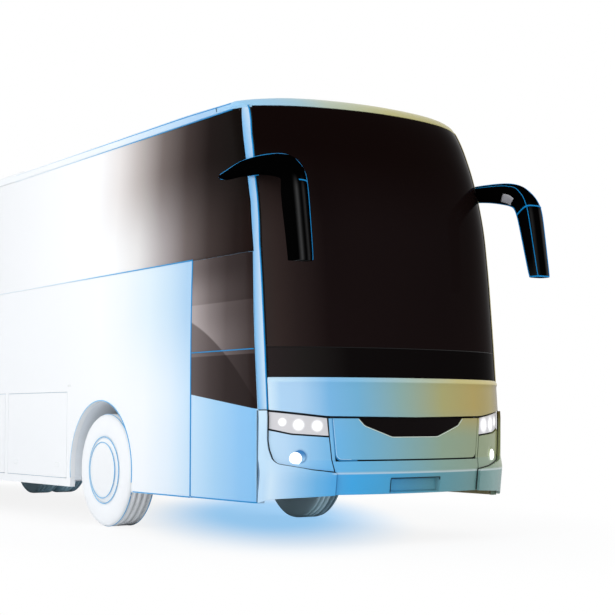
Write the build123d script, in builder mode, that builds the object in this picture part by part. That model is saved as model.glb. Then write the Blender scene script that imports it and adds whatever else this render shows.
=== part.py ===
from build123d import *
from collections import namedtuple
from functools import lru_cache
from math import cos, radians, sin
import os

# Touring coach, full size, millimetres. +X forward, +Y to the driver's side (left), +Z up.
# Origin on the ground, under the middle of the overall box.

os.makedirs("parts", exist_ok=True)

# ---------------------------------------------------------------- driving sizes
body_length = 12200  # nose to rear wall
body_width = 2550
roof_z = 3780  # crown of the roof
skirt_z = 355  # lower edge of the side walls
wheelbase = 6000
front_overhang = 3253  # nose to front wheel centre
mirror_reach = 230  # how far the mirrors stand ahead of the nose

half_width = body_width / 2
rear_x = -(body_length + mirror_reach) / 2
nose_x = rear_x + body_length
front_wheel_x = nose_x - front_overhang
rear_wheel_x = front_wheel_x - wheelbase

# plan of the front: three tangent arcs from the nose round to the flank
nose_arc = 16.6  # degrees of the wide middle arc
cheek_arc = 42.1  # heading where the cheek arc ends
cheek_r = 1211
corner_r = 200
rear_corner_r = 180
cheek_width = cheek_r * (sin(radians(cheek_arc)) - sin(radians(nose_arc)))
nose_r = half_width - cheek_width - corner_r * (1 - sin(radians(cheek_arc)))
nose_r = nose_r / sin(radians(nose_arc))
nose_bow = cheek_r * (cos(radians(nose_arc)) - cos(radians(cheek_arc)))
nose_bow = nose_bow + nose_r * (1 - cos(radians(nose_arc)))
corner_x = nose_x - nose_bow  # where the cheek arc ends, at every level the measure of set-back

# heights of the main lines
flap_low_z = 706
crease_z = 600
mask_z = 1045
mask_corner_z = 1100
screen_low_z = 1370
band_top_z = 1605
sill_z = 2400
glass_top_z = 3640
shoulder_z = 3716

# recess for the number plate: half width, low z, high z
recess = (255, 435, 552)
recess_depth = 48
tray_wall = 8

# wall thicknesses and gaps
wall = 50
glass = 8
screen_glass = 10
panel = 30
seam = 6
door_gap = 8

# flanks lean inwards above the belt on a large radius
belt_z = 1500
flank_r = 32600


def flank(z):
    """Half width of the body at a height."""
    rise = max(0, z - belt_z)
    return half_width - rise * rise / (2 * flank_r)


# level, set-back of the front (forward is +) and of the rear (forward is +)
Level = namedtuple("Level", "z front rear")
lower_levels = (
    Level(skirt_z - 15, -15, 30),
    Level(crease_z, 22, 0),
    Level(flap_low_z, 0, 0),
    Level(mask_z, 6, 0),
    Level(screen_low_z, -20, 0),
)
upper_levels = (
    Level(screen_low_z, -20, 0),
    Level(1900, -62, 5),
    Level(sill_z, -103, 15),
    Level(2750, -143, 30),
    Level(3050, -210, 50),
    Level(3350, -308, 75),
    Level(glass_top_z, -450, 110),
)
roof_levels = (
    Level(glass_top_z, -450, 110),
    Level(3690, -485, 125),
    Level(3730, -550, 160),
    Level(3760, -680, 260),
    Level(roof_z + 20, -1050, 600),
)


@lru_cache(maxsize=None)
def core(levels, inset, top_half=None):
    """Body block between the first and last level, moved in by inset on every upright face."""
    with BuildPart() as block:
        for level in levels:
            with BuildSketch(Plane.XY.offset(level.z)):
                with BuildLine():
                    w = (top_half or flank(level.z)) - inset
                    wide = w - (cheek_r - inset) * (sin(radians(cheek_arc)) - sin(radians(nose_arc)))
                    wide = wide - (corner_r - inset) * (1 - sin(radians(cheek_arc)))
                    wide_r = wide / sin(radians(nose_arc))
                    bow = (cheek_r - inset) * (cos(radians(nose_arc)) - cos(radians(cheek_arc)))
                    bow = bow + wide_r * (1 - cos(radians(nose_arc)))
                    front_x = corner_x + level.front - inset * cos(radians(cheek_arc)) + bow
                    nose = JernArc((front_x, 0), (0, 1), wide_r, nose_arc)
                    cheek = JernArc(nose @ 1, nose % 1, cheek_r - inset, cheek_arc - nose_arc)
                    corner = JernArc(cheek @ 1, cheek % 1, corner_r - inset, 90 - cheek_arc)
                    back_x = rear_x + level.rear + inset
                    side = Line(corner @ 1, (back_x + rear_corner_r - inset, w))
                    turn = JernArc(side @ 1, (-1, 0), rear_corner_r - inset, 90)
                    Line(turn @ 1, (back_x, 0))
                    mirror(about=Plane.XZ)
                make_face()
        loft(ruled=True)
    return block.part


@lru_cache(maxsize=None)
def shell(levels, outer, inner):
    """Ring of body skin between two insets."""
    with BuildPart() as ring:
        add(core(levels, outer))
        add(core(levels, inner), mode=Mode.SUBTRACT)
    return ring.part


def front_mask(points, x0=corner_x - 400, x1=nose_x + 200):
    """Prism along X over an outline of (y, z) points."""
    with BuildPart() as prism:
        with BuildSketch(Plane.YZ.offset(x0)):
            with BuildLine():
                Polyline(*points, close=True)
            make_face()
        extrude(amount=x1 - x0)
    return prism.part


def side_mask(points, y0, y1):
    """Prism along Y over an outline of (x, z) points, from y0 to y1."""
    with BuildPart() as prism:
        with BuildSketch(Plane.XZ.offset(-y1)):
            with BuildLine():
                Polyline(*points, close=True)
            make_face()
        extrude(amount=y1 - y0)
    return prism.part


def block(x0, x1, y0, y1, z0, z1):
    """Plain box between two corners."""
    with BuildPart() as solid:
        with Locations(((x0 + x1) / 2, (y0 + y1) / 2, (z0 + z1) / 2)):
            Box(x1 - x0, y1 - y0, z1 - z0)
    return solid.part


def both_sides(points):
    """The same (y, z) outline mirrored to the other side."""
    return [(-y, z) for y, z in points]


def save(piece, name):
    """Label a finished piece and write it."""
    piece.label = name
    export_step(piece, f"parts/{name}.step")


# ---------------------------------------------------------------- body skins
lower_wall = shell(lower_levels, 0, wall)
upper_wall = shell(upper_levels, 0, wall)
upper_frame = shell(upper_levels, glass, wall)
upper_glass = shell(upper_levels, 0, glass)
lower_panel = shell(lower_levels, 0, panel)

flank_front_x = corner_x - 1126  # rear edge of the entrance door
rear_split_x = rear_x + 220  # flanks end and the rear wall begins
right, left = -1, 1

# side view of the entrance pillar: rear edge, foremost at the bottom
PillarPoint = namedtuple("PillarPoint", "z back")
pillar_edge = [
    PillarPoint(skirt_z - 20, -55),
    PillarPoint(mask_corner_z, -60),
    PillarPoint(1700, -112),
    PillarPoint(2400, -160),
    PillarPoint(2800, -213),
    PillarPoint(3200, -322),
    PillarPoint(glass_top_z, -503),
    PillarPoint(glass_top_z + 60, -530),
]
pillar_line = [(corner_x + p.back, p.z) for p in pillar_edge]


def pillar_at(z):
    """X of the pillar's rear edge at a height."""
    for low, high in zip(pillar_edge, pillar_edge[1:]):
        if z <= high.z:
            share = (z - low.z) / (high.z - low.z)
            return corner_x + low.back + share * (high.back - low.back)
    return corner_x + pillar_edge[-1].back


def ahead_of_pillar(offset, y0, y1):
    """Everything ahead of the pillar's rear edge, moved by offset."""
    edge = [(x + offset, z) for x, z in pillar_line]
    return side_mask(edge + [(nose_x + 300, edge[-1][1]), (nose_x + 300, edge[0][1])], y0, y1)


def behind_pillar(x_back, z0, z1, offset, side):
    """Flank area from x_back to the pillar's rear edge less offset, between two heights."""
    inner = [(x, z) for x, z in pillar_line if z0 < z < z1]
    edge = [(pillar_at(z0), z0)] + inner + [(pillar_at(z1), z1)]
    edge = [(x - offset, z) for x, z in edge]
    y0, y1 = (-half_width - 100, -600) if side == right else (600, half_width + 100)
    return side_mask([(x_back, z0)] + edge + [(x_back, z1)], y0, y1)


# windscreen edge seen from the front, (y, z)
screen_edge = [(1200, screen_low_z), (1200, 2450), (1182, 3050), (1150, 3400), (1112, glass_top_z)]


def screen_mask(z0, z1, trim):
    """Front area inside the windscreen edge less trim, between two heights."""
    inner = [(y, z) for y, z in screen_edge if z0 < z < z1]

    def at(z):
        for (ya, za), (yb, zb) in zip(screen_edge, screen_edge[1:]):
            if z <= zb:
                return ya + (z - za) / (zb - za) * (yb - ya)
        return screen_edge[-1][0]

    edge = [(at(max(z0, screen_low_z)), z0)] + inner + [(at(z1), z1)]
    edge = [(y - trim, z) for y, z in edge]
    return front_mask(edge + both_sides(edge)[::-1], x0=corner_x - 900)


# ---------------------------------------------------------------- windscreen and its band
for name, z0, z1 in [
    ("windscreen_band", screen_low_z + 4, band_top_z - 3),
    ("windscreen", band_top_z + 3, glass_top_z - 3),
]:
    with BuildPart() as pane:
        add(shell(upper_levels, 0, screen_glass))
        add(screen_mask(z0, z1, 3), mode=Mode.INTERSECT)
    save(pane.part, name)

# ---------------------------------------------------------------- front frame
# corner pillars from the bumper to the roof, cross-beams under and over the windscreen
pillar_outer = [(y + 3, z) for y, z in screen_edge]
with BuildPart() as front_frame:
    add(shell(upper_levels, 0, 60))
    add(ahead_of_pillar(0, -half_width - 50, half_width + 50), mode=Mode.INTERSECT)
    with BuildPart(mode=Mode.PRIVATE) as opening:
        add(screen_mask(screen_low_z - 1, glass_top_z + 1, -1))
    add(opening.part, mode=Mode.SUBTRACT)
    # strip beside the upper front panel, down to the mask line
    with BuildPart(mode=Mode.PRIVATE) as lower_strip:
        add(shell(lower_levels, 0, 60))
        add(ahead_of_pillar(0, -half_width - 50, half_width + 50), mode=Mode.INTERSECT)
        add(block(corner_x - 400, nose_x + 50, -1204, 1204, 0, 2000), mode=Mode.SUBTRACT)
        add(block(corner_x - 400, nose_x + 50, -1400, 1400, mask_corner_z + 4, 2000), mode=Mode.INTERSECT)
    add(lower_strip.part)
    # bulkhead behind the panels, with its top shelf under the windscreen
    with BuildPart(mode=Mode.PRIVATE) as bulkhead:
        add(shell(lower_levels, 130, 150))
        add(ahead_of_pillar(-60, -half_width - 50, half_width + 50), mode=Mode.INTERSECT)
        add(block(0, nose_x + 50, -1400, 1400, 430, screen_low_z), mode=Mode.INTERSECT)
    add(bulkhead.part)
    with BuildPart(mode=Mode.PRIVATE) as shelf:
        add(shell(lower_levels, panel, 150))
        add(ahead_of_pillar(0, -half_width - 50, half_width + 50), mode=Mode.INTERSECT)
        add(block(0, nose_x + 50, -1400, 1400, 1310, screen_low_z), mode=Mode.INTERSECT)
    add(shelf.part)
    with BuildPart(mode=Mode.PRIVATE) as beam:
        add(shell(lower_levels, recess_depth + 40, 150))
        add(ahead_of_pillar(0, -half_width - 50, half_width + 50), mode=Mode.INTERSECT)
        add(block(0, nose_x + 50, -1400, 1400, 470, 560), mode=Mode.INTERSECT)
    add(beam.part)
    # stays that carry the bumper, the flap's latch and the lamp panels
    with BuildPart(mode=Mode.PRIVATE) as stays:
        add(shell(lower_levels, panel, 140))
        with BuildPart(mode=Mode.PRIVATE) as stay_areas:
            for y in (-745, 745):
                add(block(corner_x - 100, nose_x + 50, y - 14, y + 14, 440, 1310))
            for y in (-1180, 1180):
                add(block(corner_x - 200, nose_x + 50, y - 20, y + 20, 440, 860))
        add(stay_areas.part, mode=Mode.INTERSECT)
        add(ahead_of_pillar(0, -half_width - 50, half_width + 50), mode=Mode.INTERSECT)
    add(stays.part)
    with BuildPart(mode=Mode.PRIVATE) as posts:
        add(shell(lower_levels, panel, 150))
        add(ahead_of_pillar(0, -half_width - 50, half_width + 50), mode=Mode.INTERSECT)
        add(block(0, corner_x - 30, -1400, 1400, 470, screen_low_z), mode=Mode.INTERSECT)
    add(posts.part)
    # header over the windscreen
    with BuildPart(mode=Mode.PRIVATE) as header:
        add(shell(upper_levels, screen_glass, 80))
        add(ahead_of_pillar(0, -half_width - 50, half_width + 50), mode=Mode.INTERSECT)
        add(block(0, nose_x + 50, -1300, 1300, 3520, glass_top_z), mode=Mode.INTERSECT)
    add(header.part)
save(front_frame.part, "front_frame")

# ---------------------------------------------------------------- front panels
# each outline is (y, z) on the left half; the right one is its mirror
bumper_low_z = 425
headlight = [(1203, 1092), (798, 1040), (783, 893), (1060, 913), (1203, 952)]
fog_panel = [
    (1203, 943), (1060, 904), (783, 884), (768, 752), (752, 609),
    (930, 630), (1145, 674), (1170, 705), (1195, 790), (1203, 860),
]
corner_bumper = [
    (1300, mask_corner_z), (1209, mask_corner_z), (1209, 860), (1201, 788), (1176, 700),
    (1148, 668), (930, 624), (743, 602), (743, bumper_low_z), (1100, 405), (1300, 395),
]
# the service flap hangs between the arms of the U-shaped bumper
service_flap = [(755, mask_z - 6), (726, flap_low_z + 18)]
bumper_u = [
    (737, bumper_low_z), (737, 602), (746, 610), (762, 752), (777, 886), (791, mask_z - 6),
    (761, mask_z - 6), (732, flap_low_z + 8),
]
nose_plate = [(541, 1036), (488, 977), (238, 886)]
plate_x = nose_x - recess_depth  # flat floor of the recess, seat of the number plate

with BuildPart() as upper_panel:
    add(shell(lower_levels, -12, panel))
    inner = [(1200, 1106), (798, mask_z + 10), (-798, mask_z + 10), (-1200, 1106)]
    add(front_mask(inner + [(-1200, screen_low_z - 4), (1200, screen_low_z - 4)]), mode=Mode.INTERSECT)
save(upper_panel.part, "upper_front_panel")

with BuildPart() as headlights:
    add(shell(lower_levels, 4, 100))
    with BuildPart(mode=Mode.PRIVATE) as outlines:
        add(front_mask(headlight, corner_x - 28))
        add(front_mask(both_sides(headlight), corner_x - 28))
    add(outlines.part, mode=Mode.INTERSECT)
save(headlights.part, "headlights")

with BuildPart() as fog_panels:
    add(shell(lower_levels, 0, panel))
    with BuildPart(mode=Mode.PRIVATE) as outlines:
        add(front_mask(fog_panel))
        add(front_mask(both_sides(fog_panel)))
    add(outlines.part, mode=Mode.INTERSECT)
save(fog_panels.part, "fog_panels")

with BuildPart() as bumper_corners:
    add(lower_panel)
    with BuildPart(mode=Mode.PRIVATE) as outlines:
        add(front_mask(corner_bumper))
        add(front_mask(both_sides(corner_bumper)))
    add(outlines.part, mode=Mode.INTERSECT)
    add(ahead_of_pillar(0, -half_width - 50, half_width + 50), mode=Mode.INTERSECT)
save(bumper_corners.part, "bumper_corners")

with BuildPart() as bumper_centre:
    add(lower_panel)
    add(front_mask(bumper_u + both_sides(bumper_u)[::-1]), mode=Mode.INTERSECT)
    # tray of the plate recess, let into the skin
    w, z0, z1 = recess
    with BuildPart(mode=Mode.PRIVATE) as tray:
        add(block(plate_x - tray_wall, nose_x + 50, -w - tray_wall, w + tray_wall, z0 - tray_wall, z1 + tray_wall))
        add(core(lower_levels, 0), mode=Mode.INTERSECT)
    add(tray.part)
    add(block(plate_x, nose_x + 50, -w, w, z0, z1), mode=Mode.SUBTRACT)
save(bumper_centre.part, "bumper_centre")

with BuildPart() as flap:
    add(shell(lower_levels, 0, 24))
    add(front_mask(service_flap + both_sides(service_flap)[::-1]), mode=Mode.INTERSECT)
save(flap.part, "front_service_flap")

with BuildPart() as plate:
    add(shell(lower_levels, -6, 0))
    add(front_mask(nose_plate + both_sides(nose_plate)[::-1]), mode=Mode.INTERSECT)
save(plate.part, "nose_plate")

# ---------------------------------------------------------------- flanks
arch_r = 660
wheel_z = 538
door_top_z = 2395
entrance_x = (flank_front_x, corner_x - 55)
middle_door_x = (rear_wheel_x + 1050, rear_wheel_x + 1900)
hold_z = (440, 1290)
hold_flap_x = {
    right: [(middle_door_x[1] + 90, middle_door_x[1] + 1750), (middle_door_x[1] + 1840, front_wheel_x - 760)],
    left: [(rear_wheel_x + 900, rear_wheel_x + 2950), (rear_wheel_x + 3040, front_wheel_x - 760)],
}
# door posts stand inside the jambs, on the lowest step and under a bracket of the wall
post_y = -1075
post_r = 22
post_fit = 0.05
door_post_x = (corner_x - 290, middle_door_x[0] + 130)
post_bracket_z = (door_top_z + 15, door_top_z + 45)
window_pitch = 1420
window_post = 90
window_z = (sill_z + 90, glass_top_z - 70)
window_front_x = flank_front_x + 120
window_x = []
x = rear_split_x + 60
while x + window_pitch < window_front_x + 400:
    window_x.append((x, x + window_pitch - window_post))
    x = x + window_pitch
window_x[-1] = (window_x[-1][0], flank_front_x - 60)


def flank_solid(side):
    """One flank: skirt to sill at full thickness, window frame above, everything cut out."""
    y0, y1 = (-half_width - 100, -600) if side == right else (600, half_width + 100)
    with BuildPart() as wall_part:
        add(lower_wall)
        add(upper_wall)
        add(block(rear_x - 10, nose_x, y0, y1, sill_z, 4000), mode=Mode.SUBTRACT)
        with BuildPart(mode=Mode.PRIVATE) as frame:
            add(upper_frame)
            add(block(rear_x - 10, nose_x, y0, y1, sill_z, 4000), mode=Mode.INTERSECT)
        add(frame.part)
        add(behind_pillar(rear_split_x, skirt_z, glass_top_z, 0, side), mode=Mode.INTERSECT)
        for x0, x1 in window_x:
            add(block(x0, x1, y0, y1, window_z[0], window_z[1]), mode=Mode.SUBTRACT)
        add(behind_pillar(flank_front_x + 60, window_z[0], window_z[1], 90, side), mode=Mode.SUBTRACT)
        for axle_x in (front_wheel_x, rear_wheel_x):
            with Locations((axle_x, side * half_width, wheel_z)):
                Cylinder(arch_r, 400, rotation=(90, 0, 0), mode=Mode.SUBTRACT)
            add(block(axle_x - arch_r, axle_x + arch_r, y0, y1, 0, wheel_z), mode=Mode.SUBTRACT)
        for x0, x1 in hold_flap_x[side]:
            add(block(x0 - seam, x1 + seam, y0, y1, hold_z[0] - seam, hold_z[1] + seam), mode=Mode.SUBTRACT)
        if side == right:
            for x0, x1 in (middle_door_x,):
                add(block(x0 - door_gap, x1 + door_gap, y0, y1, 0, door_top_z + door_gap), mode=Mode.SUBTRACT)
            doorway = behind_pillar(flank_front_x - door_gap, skirt_z - 10, door_top_z + door_gap, -5, side)
            add(doorway, mode=Mode.SUBTRACT)
            # top bearings of the door posts
            for x in door_post_x:
                add(block(x - 45, x + 45, -half_width + wall, post_y + 45, *post_bracket_z))
                with Locations((x, post_y, sum(post_bracket_z) / 2)):
                    Cylinder(post_r + post_fit, 60, mode=Mode.SUBTRACT)
        else:
            # driver's window opening
            low = [(flank_front_x + 30, 1240), (flank_front_x + 30, 2370)]
            front = [(pillar_at(2370) - 60, 2370), (pillar_at(1150) - 60, 1150)]
            add(side_mask(low + front, y0, y1), mode=Mode.SUBTRACT)
    return wall_part.part


for side, word in ((right, "right"), (left, "left")):
    save(flank_solid(side), f"side_wall_{word}")

# bonded panes of both flanks, in one dark band with narrow joints
with BuildPart() as panes:
    add(upper_glass)
    with BuildPart(mode=Mode.PRIVATE) as areas:
        for side in (right, left):
            add(behind_pillar(rear_split_x + 3, sill_z + 4, glass_top_z - 4, 3, side))
    add(areas.part, mode=Mode.INTERSECT)
    for x0, x1 in window_x[1:]:
        joint_x = x0 - window_post / 2
        add(block(joint_x - 3, joint_x + 3, -1400, 1400, 0, 4000), mode=Mode.SUBTRACT)
save(panes.part, "side_windows")

# driver's window, glazed flush in the left flank
with BuildPart() as driver_window:
    for levels in (lower_levels, upper_levels):
        with BuildPart(mode=Mode.PRIVATE) as zone:
            add(shell(levels, 20, 20 + glass))
            low = [(flank_front_x + 34, 1244), (flank_front_x + 34, 2366)]
            front = [(pillar_at(2370) - 64, 2366), (pillar_at(1150) - 64, 1154)]
            add(side_mask(low + front, 600, 1400), mode=Mode.INTERSECT)
        add(zone.part)
save(driver_window.part, "driver_window")

# ---------------------------------------------------------------- roof
crown_r = 1125 * 1125 / (2 * (roof_z - shoulder_z))


def roof_block(inset):
    """Solid under the roof skin, less inset."""
    w = flank(glass_top_z) - inset
    with BuildPart() as solid:
        with BuildSketch(Plane.YZ.offset(rear_x - 50)):
            with BuildLine():
                base = glass_top_z
                Line((-w, base), (w, base))
                Line((w, base), (w - 4, shoulder_z - inset))
                ThreePointArc((w - 4, shoulder_z - inset), (0, roof_z - inset), (4 - w, shoulder_z - inset))
                Line((4 - w, shoulder_z - inset), (-w, base))
            make_face()
            corners = [v for v in vertices() if v.Z > glass_top_z + 10 or v.Y > glass_top_z + 10]
            fillet(corners, 75 - inset)
        extrude(amount=nose_x - rear_x + 100)
        add(core(roof_levels, inset, flank(glass_top_z) + 20), mode=Mode.INTERSECT)
    return solid.part


hatch_x = (front_wheel_x - 900, rear_wheel_x + 300)  # centres of the roof hatches
hatch = (700, 620)
roof_skin = 40
with BuildPart() as roof:
    add(roof_block(0))
    add(roof_block(roof_skin), mode=Mode.SUBTRACT)
    for x in hatch_x:
        with Locations((x, 0, roof_z - 20)):
            Box(hatch[0], hatch[1], 200, mode=Mode.SUBTRACT)
save(roof.part, "roof_panel")
hatch_lip = 30
for x, word in zip(hatch_x, ("front", "rear")):
    with BuildPart() as lid:
        with Locations((x, 0, roof_z + 14)):
            Box(hatch[0] + 2 * hatch_lip, hatch[1] + 2 * hatch_lip, 24)
        top = lid.edges().filter_by(Axis.Z)
        fillet(top, 40)
        with Locations((x, 0, roof_z - 12)):
            Box(hatch[0] - 16, hatch[1] - 16, 28)
    save(lid.part, f"roof_hatch_{word}")

# low air-conditioning fairing on the rear half of the roof
with BuildPart() as air_unit:
    with BuildSketch(Plane.XY.offset(roof_z - 12)):
        with Locations((rear_wheel_x + 1900, 0)):
            RectangleRounded(2300, 1700, 150)
    extrude(amount=130, taper=12)
    fillet(air_unit.faces().sort_by(Axis.Z)[-1].edges(), 30)
    add(roof_block(0), mode=Mode.SUBTRACT)
save(air_unit.part, "roof_air_unit")

# ---------------------------------------------------------------- rear end
lid_z = (790, 1980)
lid_w = 940
rear_window_z = (2450, 3420)
rear_window_w = 980
with BuildPart() as rear_wall:
    add(lower_wall)
    add(upper_wall)
    add(block(rear_x - 50, rear_split_x, -1400, 1400, 700, glass_top_z), mode=Mode.INTERSECT)
    add(block(rear_x - 50, rear_x + 600, -lid_w - 6, lid_w + 6, lid_z[0] - 6, lid_z[1] + 6), mode=Mode.SUBTRACT)
    add(block(rear_x - 50, rear_x + 600, -rear_window_w, rear_window_w, *rear_window_z), mode=Mode.SUBTRACT)
    for y in (-1, 1):
        add(block(rear_x - 50, rear_x + 40, *sorted((y * 1000, y * 1180)), 1050, 1700), mode=Mode.SUBTRACT)
save(rear_wall.part, "rear_wall")
with BuildPart() as rear_window:
    add(shell(upper_levels, 12, 12 + glass))
    w = rear_window_w
    add(block(rear_x - 50, rear_x + 300, -w, w, *rear_window_z), mode=Mode.INTERSECT)
save(rear_window.part, "rear_window")
with BuildPart() as rear_bumper:
    add(shell(lower_levels, 0, 40))
    add(block(rear_x - 50, rear_split_x, -1400, 1400, skirt_z + 20, 696), mode=Mode.INTERSECT)
save(rear_bumper.part, "rear_bumper")
with BuildPart() as engine_lid:
    add(shell(lower_levels, 0, 40))
    add(shell(upper_levels, 0, 40))
    add(block(rear_x - 50, rear_x + 400, -lid_w, lid_w, *lid_z), mode=Mode.INTERSECT)
save(engine_lid.part, "engine_lid")
with BuildPart() as tail_lights:
    add(shell(lower_levels, 0, 38))
    add(shell(upper_levels, 0, 38))
    with BuildPart(mode=Mode.PRIVATE) as areas:
        for y in (-1, 1):
            add(block(rear_x - 50, rear_x + 38, *sorted((y * 1003, y * 1177)), 1053, 1697))
    add(areas.part, mode=Mode.INTERSECT)
save(tail_lights.part, "tail_lights")

# ---------------------------------------------------------------- doors
leaf = 42  # door leaf thickness


def leaf_solid(area, window):
    """Door leaf from the body skin with its window cut, and the pane that fills it."""
    skins = []
    for outer, inner in ((0, leaf), (14, 14 + glass)):
        with BuildPart() as skin:
            add(shell(lower_levels, outer, inner))
            add(shell(upper_levels, outer, inner))
        skins.append(skin.part)
    with BuildPart() as door:
        add(skins[0])
        add(area, mode=Mode.INTERSECT)
        add(window, mode=Mode.SUBTRACT)
    with BuildPart() as pane:
        add(skins[1])
        add(window, mode=Mode.INTERSECT)
    return door.part, pane.part


low_z = skirt_z + 5
area = behind_pillar(flank_front_x, low_z, door_top_z, 3, right)
glass_line = [(flank_front_x + 70, 1236), (flank_front_x + 70, door_top_z - 60)]
glass_line += [(pillar_at(door_top_z - 60) - 65, door_top_z - 60), (pillar_at(1150) - 65, 1160)]
front_door, front_door_glass = leaf_solid(area, side_mask(glass_line, -1400, -600))
x0, x1 = middle_door_x
area = block(x0, x1, -1400, -600, low_z, door_top_z)
window = block(x0 + 90, x1 - 90, -1400, -600, 1250, door_top_z - 90)
middle_door, middle_door_glass = leaf_solid(area, window)

# swing arms: an upright post inside the jamb and a level arm to a pinned bracket on the leaf
Arm = namedtuple("Arm", "name leaf pane post_x reach")  # reach is + towards the rear
arm_z = 1050
step_low_z = (380, 400)
post_z = (step_low_z[1] + 2, post_bracket_z[1])
arms = [
    Arm("front_door", front_door, front_door_glass, door_post_x[0], 560),
    Arm("middle_door", middle_door, middle_door_glass, door_post_x[1], -470),
]
pin_r = 14
leaf_inner_y = -(half_width - leaf)
for arm in arms:
    leaf_x = arm.post_x - arm.reach
    with BuildPart() as arm_part:
        with Locations((arm.post_x, post_y, sum(post_z) / 2)):
            Cylinder(post_r, post_z[1] - post_z[0])
        with Locations(((arm.post_x + leaf_x) / 2, post_y, arm_z)):
            Box(abs(arm.reach), 30, 60)
        with Locations((leaf_x, post_y, arm_z)):
            Cylinder(32, 60)
            Cylinder(pin_r + 0.05, 80, mode=Mode.SUBTRACT)
    save(arm_part.part, f"{arm.name}_arm")
    with BuildPart() as door:
        add(arm.leaf)
        for z in (arm_z - 46, arm_z + 46):
            add(block(leaf_x - 30, leaf_x + 30, leaf_inner_y, post_y + 20, z - 10, z + 10))
        with Locations((leaf_x, post_y, arm_z)):
            Cylinder(pin_r, 110)
        add(block(leaf_x - 60, leaf_x + 60, leaf_inner_y - 10, leaf_inner_y + 12, arm_z - 90, arm_z + 90))
    save(door.part, arm.name)
    save(arm.pane, f"{arm.name}_glass")

# ---------------------------------------------------------------- luggage flaps
flap_t = 40
flap_skin = 6
flap_rim = 60
for side, word in ((right, "right"), (left, "left")):
    for number, (x0, x1) in enumerate(hold_flap_x[side], 1):
        with BuildPart() as flap:
            with Locations(((x0 + x1) / 2, side * (half_width - flap_t / 2), sum(hold_z) / 2)):
                Box(x1 - x0, flap_t, hold_z[1] - hold_z[0])
            # pan behind the skin, with a middle rib
            pan_y = side * (half_width - flap_skin - flap_t / 2)
            pan = ((x1 - x0 - 3 * flap_rim) / 2, flap_t, hold_z[1] - hold_z[0] - 2 * flap_rim)
            for way in (-1, 1):
                with Locations(((x0 + x1 + way * (pan[0] + flap_rim)) / 2, pan_y, sum(hold_z) / 2)):
                    Box(*pan, mode=Mode.SUBTRACT)
        save(flap.part, f"luggage_flap_{word}_{number}")

# ---------------------------------------------------------------- floors, hold and chassis
deck_z = (1440, 1500)
cockpit_z = (880, 940)
cockpit_back_x = front_wheel_x + 700
step_y = -560
inner_y = half_width - wall
middle_well_x = (middle_door_x[0] - 40, middle_door_x[1] + 40)
with BuildPart() as deck:
    add(block(rear_x + 70, cockpit_back_x, -inner_y + 1, inner_y - 1, *deck_z))
    add(block(middle_well_x[0], middle_well_x[1], -inner_y, step_y, 0, 4000), mode=Mode.SUBTRACT)
    add(core(upper_levels, wall), mode=Mode.INTERSECT)
    # riser down to the cockpit floor
    add(block(cockpit_back_x - 30, cockpit_back_x, -inner_y + 1, inner_y - 1, cockpit_z[0], deck_z[1]))
with BuildPart() as cockpit:
    add(block(cockpit_back_x, corner_x - 250, -inner_y + 1, inner_y - 1, *cockpit_z))
    add(block(flank_front_x - 20, corner_x, -inner_y, step_y, 0, 4000), mode=Mode.SUBTRACT)
    add(core(lower_levels, 151), mode=Mode.INTERSECT)
with BuildPart() as floor:
    add(deck.part)
    add(cockpit.part)
save(floor.part, "floor_deck")
Stair = namedtuple("Stair", "x0 x1 top")
stairs = [
    Stair(flank_front_x - 20, corner_x - 230, cockpit_z[1]),
    Stair(middle_well_x[0], middle_well_x[1], deck_z[1]),
]
with BuildPart() as steps:
    for stair in stairs:
        count = round((stair.top - step_low_z[1]) / 210)
        rise = (stair.top - step_low_z[1]) / count
        add(block(stair.x0, stair.x1, -inner_y + 12, step_y, *step_low_z))
        depth = (inner_y - 12 + step_y - 330) / max(1, count - 1)
        for i in range(1, count):
            y0 = -inner_y + 12 + 330 + (i - 1) * depth
            add(block(stair.x0, stair.x1, y0, step_y, step_low_z[0], step_low_z[1] + i * rise))
    # foot bushes of the door posts
    for x in door_post_x:
        with Locations((x, post_y, step_low_z[1] + 25)):
            Cylinder(post_r + 14, 50)
            Cylinder(post_r + post_fit, 50, mode=Mode.SUBTRACT)
save(steps.part, "entrance_steps")

wheelhouse_y = (505, inner_y - 1)
with BuildPart() as wheelhouses:
    for axle_x in (front_wheel_x, rear_wheel_x):
        for side in (right, left):
            mid = side * sum(wheelhouse_y) / 2
            length = wheelhouse_y[1] - wheelhouse_y[0]
            with Locations((axle_x, mid, wheel_z)):
                Cylinder(arch_r + 12, length, rotation=(90, 0, 0))
            add(block(axle_x - arch_r - 12, axle_x + arch_r + 12, *sorted((side * 505, side * (inner_y - 1))), 420, wheel_z))
    for axle_x in (front_wheel_x, rear_wheel_x):
        for side in (right, left):
            with Locations((axle_x, side * (sum(wheelhouse_y) / 2 + 12), wheel_z)):
                Cylinder(arch_r, wheelhouse_y[1] - wheelhouse_y[0], rotation=(90, 0, 0), mode=Mode.SUBTRACT)
            add(
                block(axle_x - arch_r, axle_x + arch_r, *sorted((side * 517, side * 1400)), -200, wheel_z),
                mode=Mode.SUBTRACT,
            )
        add(block(axle_x - 240, axle_x + 240, -530, 530, -300, 740), mode=Mode.SUBTRACT)
    add(block(rear_x, nose_x, -1400, 1400, -300, 420), mode=Mode.SUBTRACT)
save(wheelhouses.part, "wheelhouses")

rail_y = (350, 430)
rail_z = (660, 860)
low_rail_z = (370, 490)
cross_z = (700, 820)
hold_x = (middle_well_x[1] + 20, front_wheel_x - 720)
drop_x = (rear_wheel_x + 760, hold_x[1] - 20)  # where the rails drop to pass under the hold
drop = 80
jack_x = nose_x - 750
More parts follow.
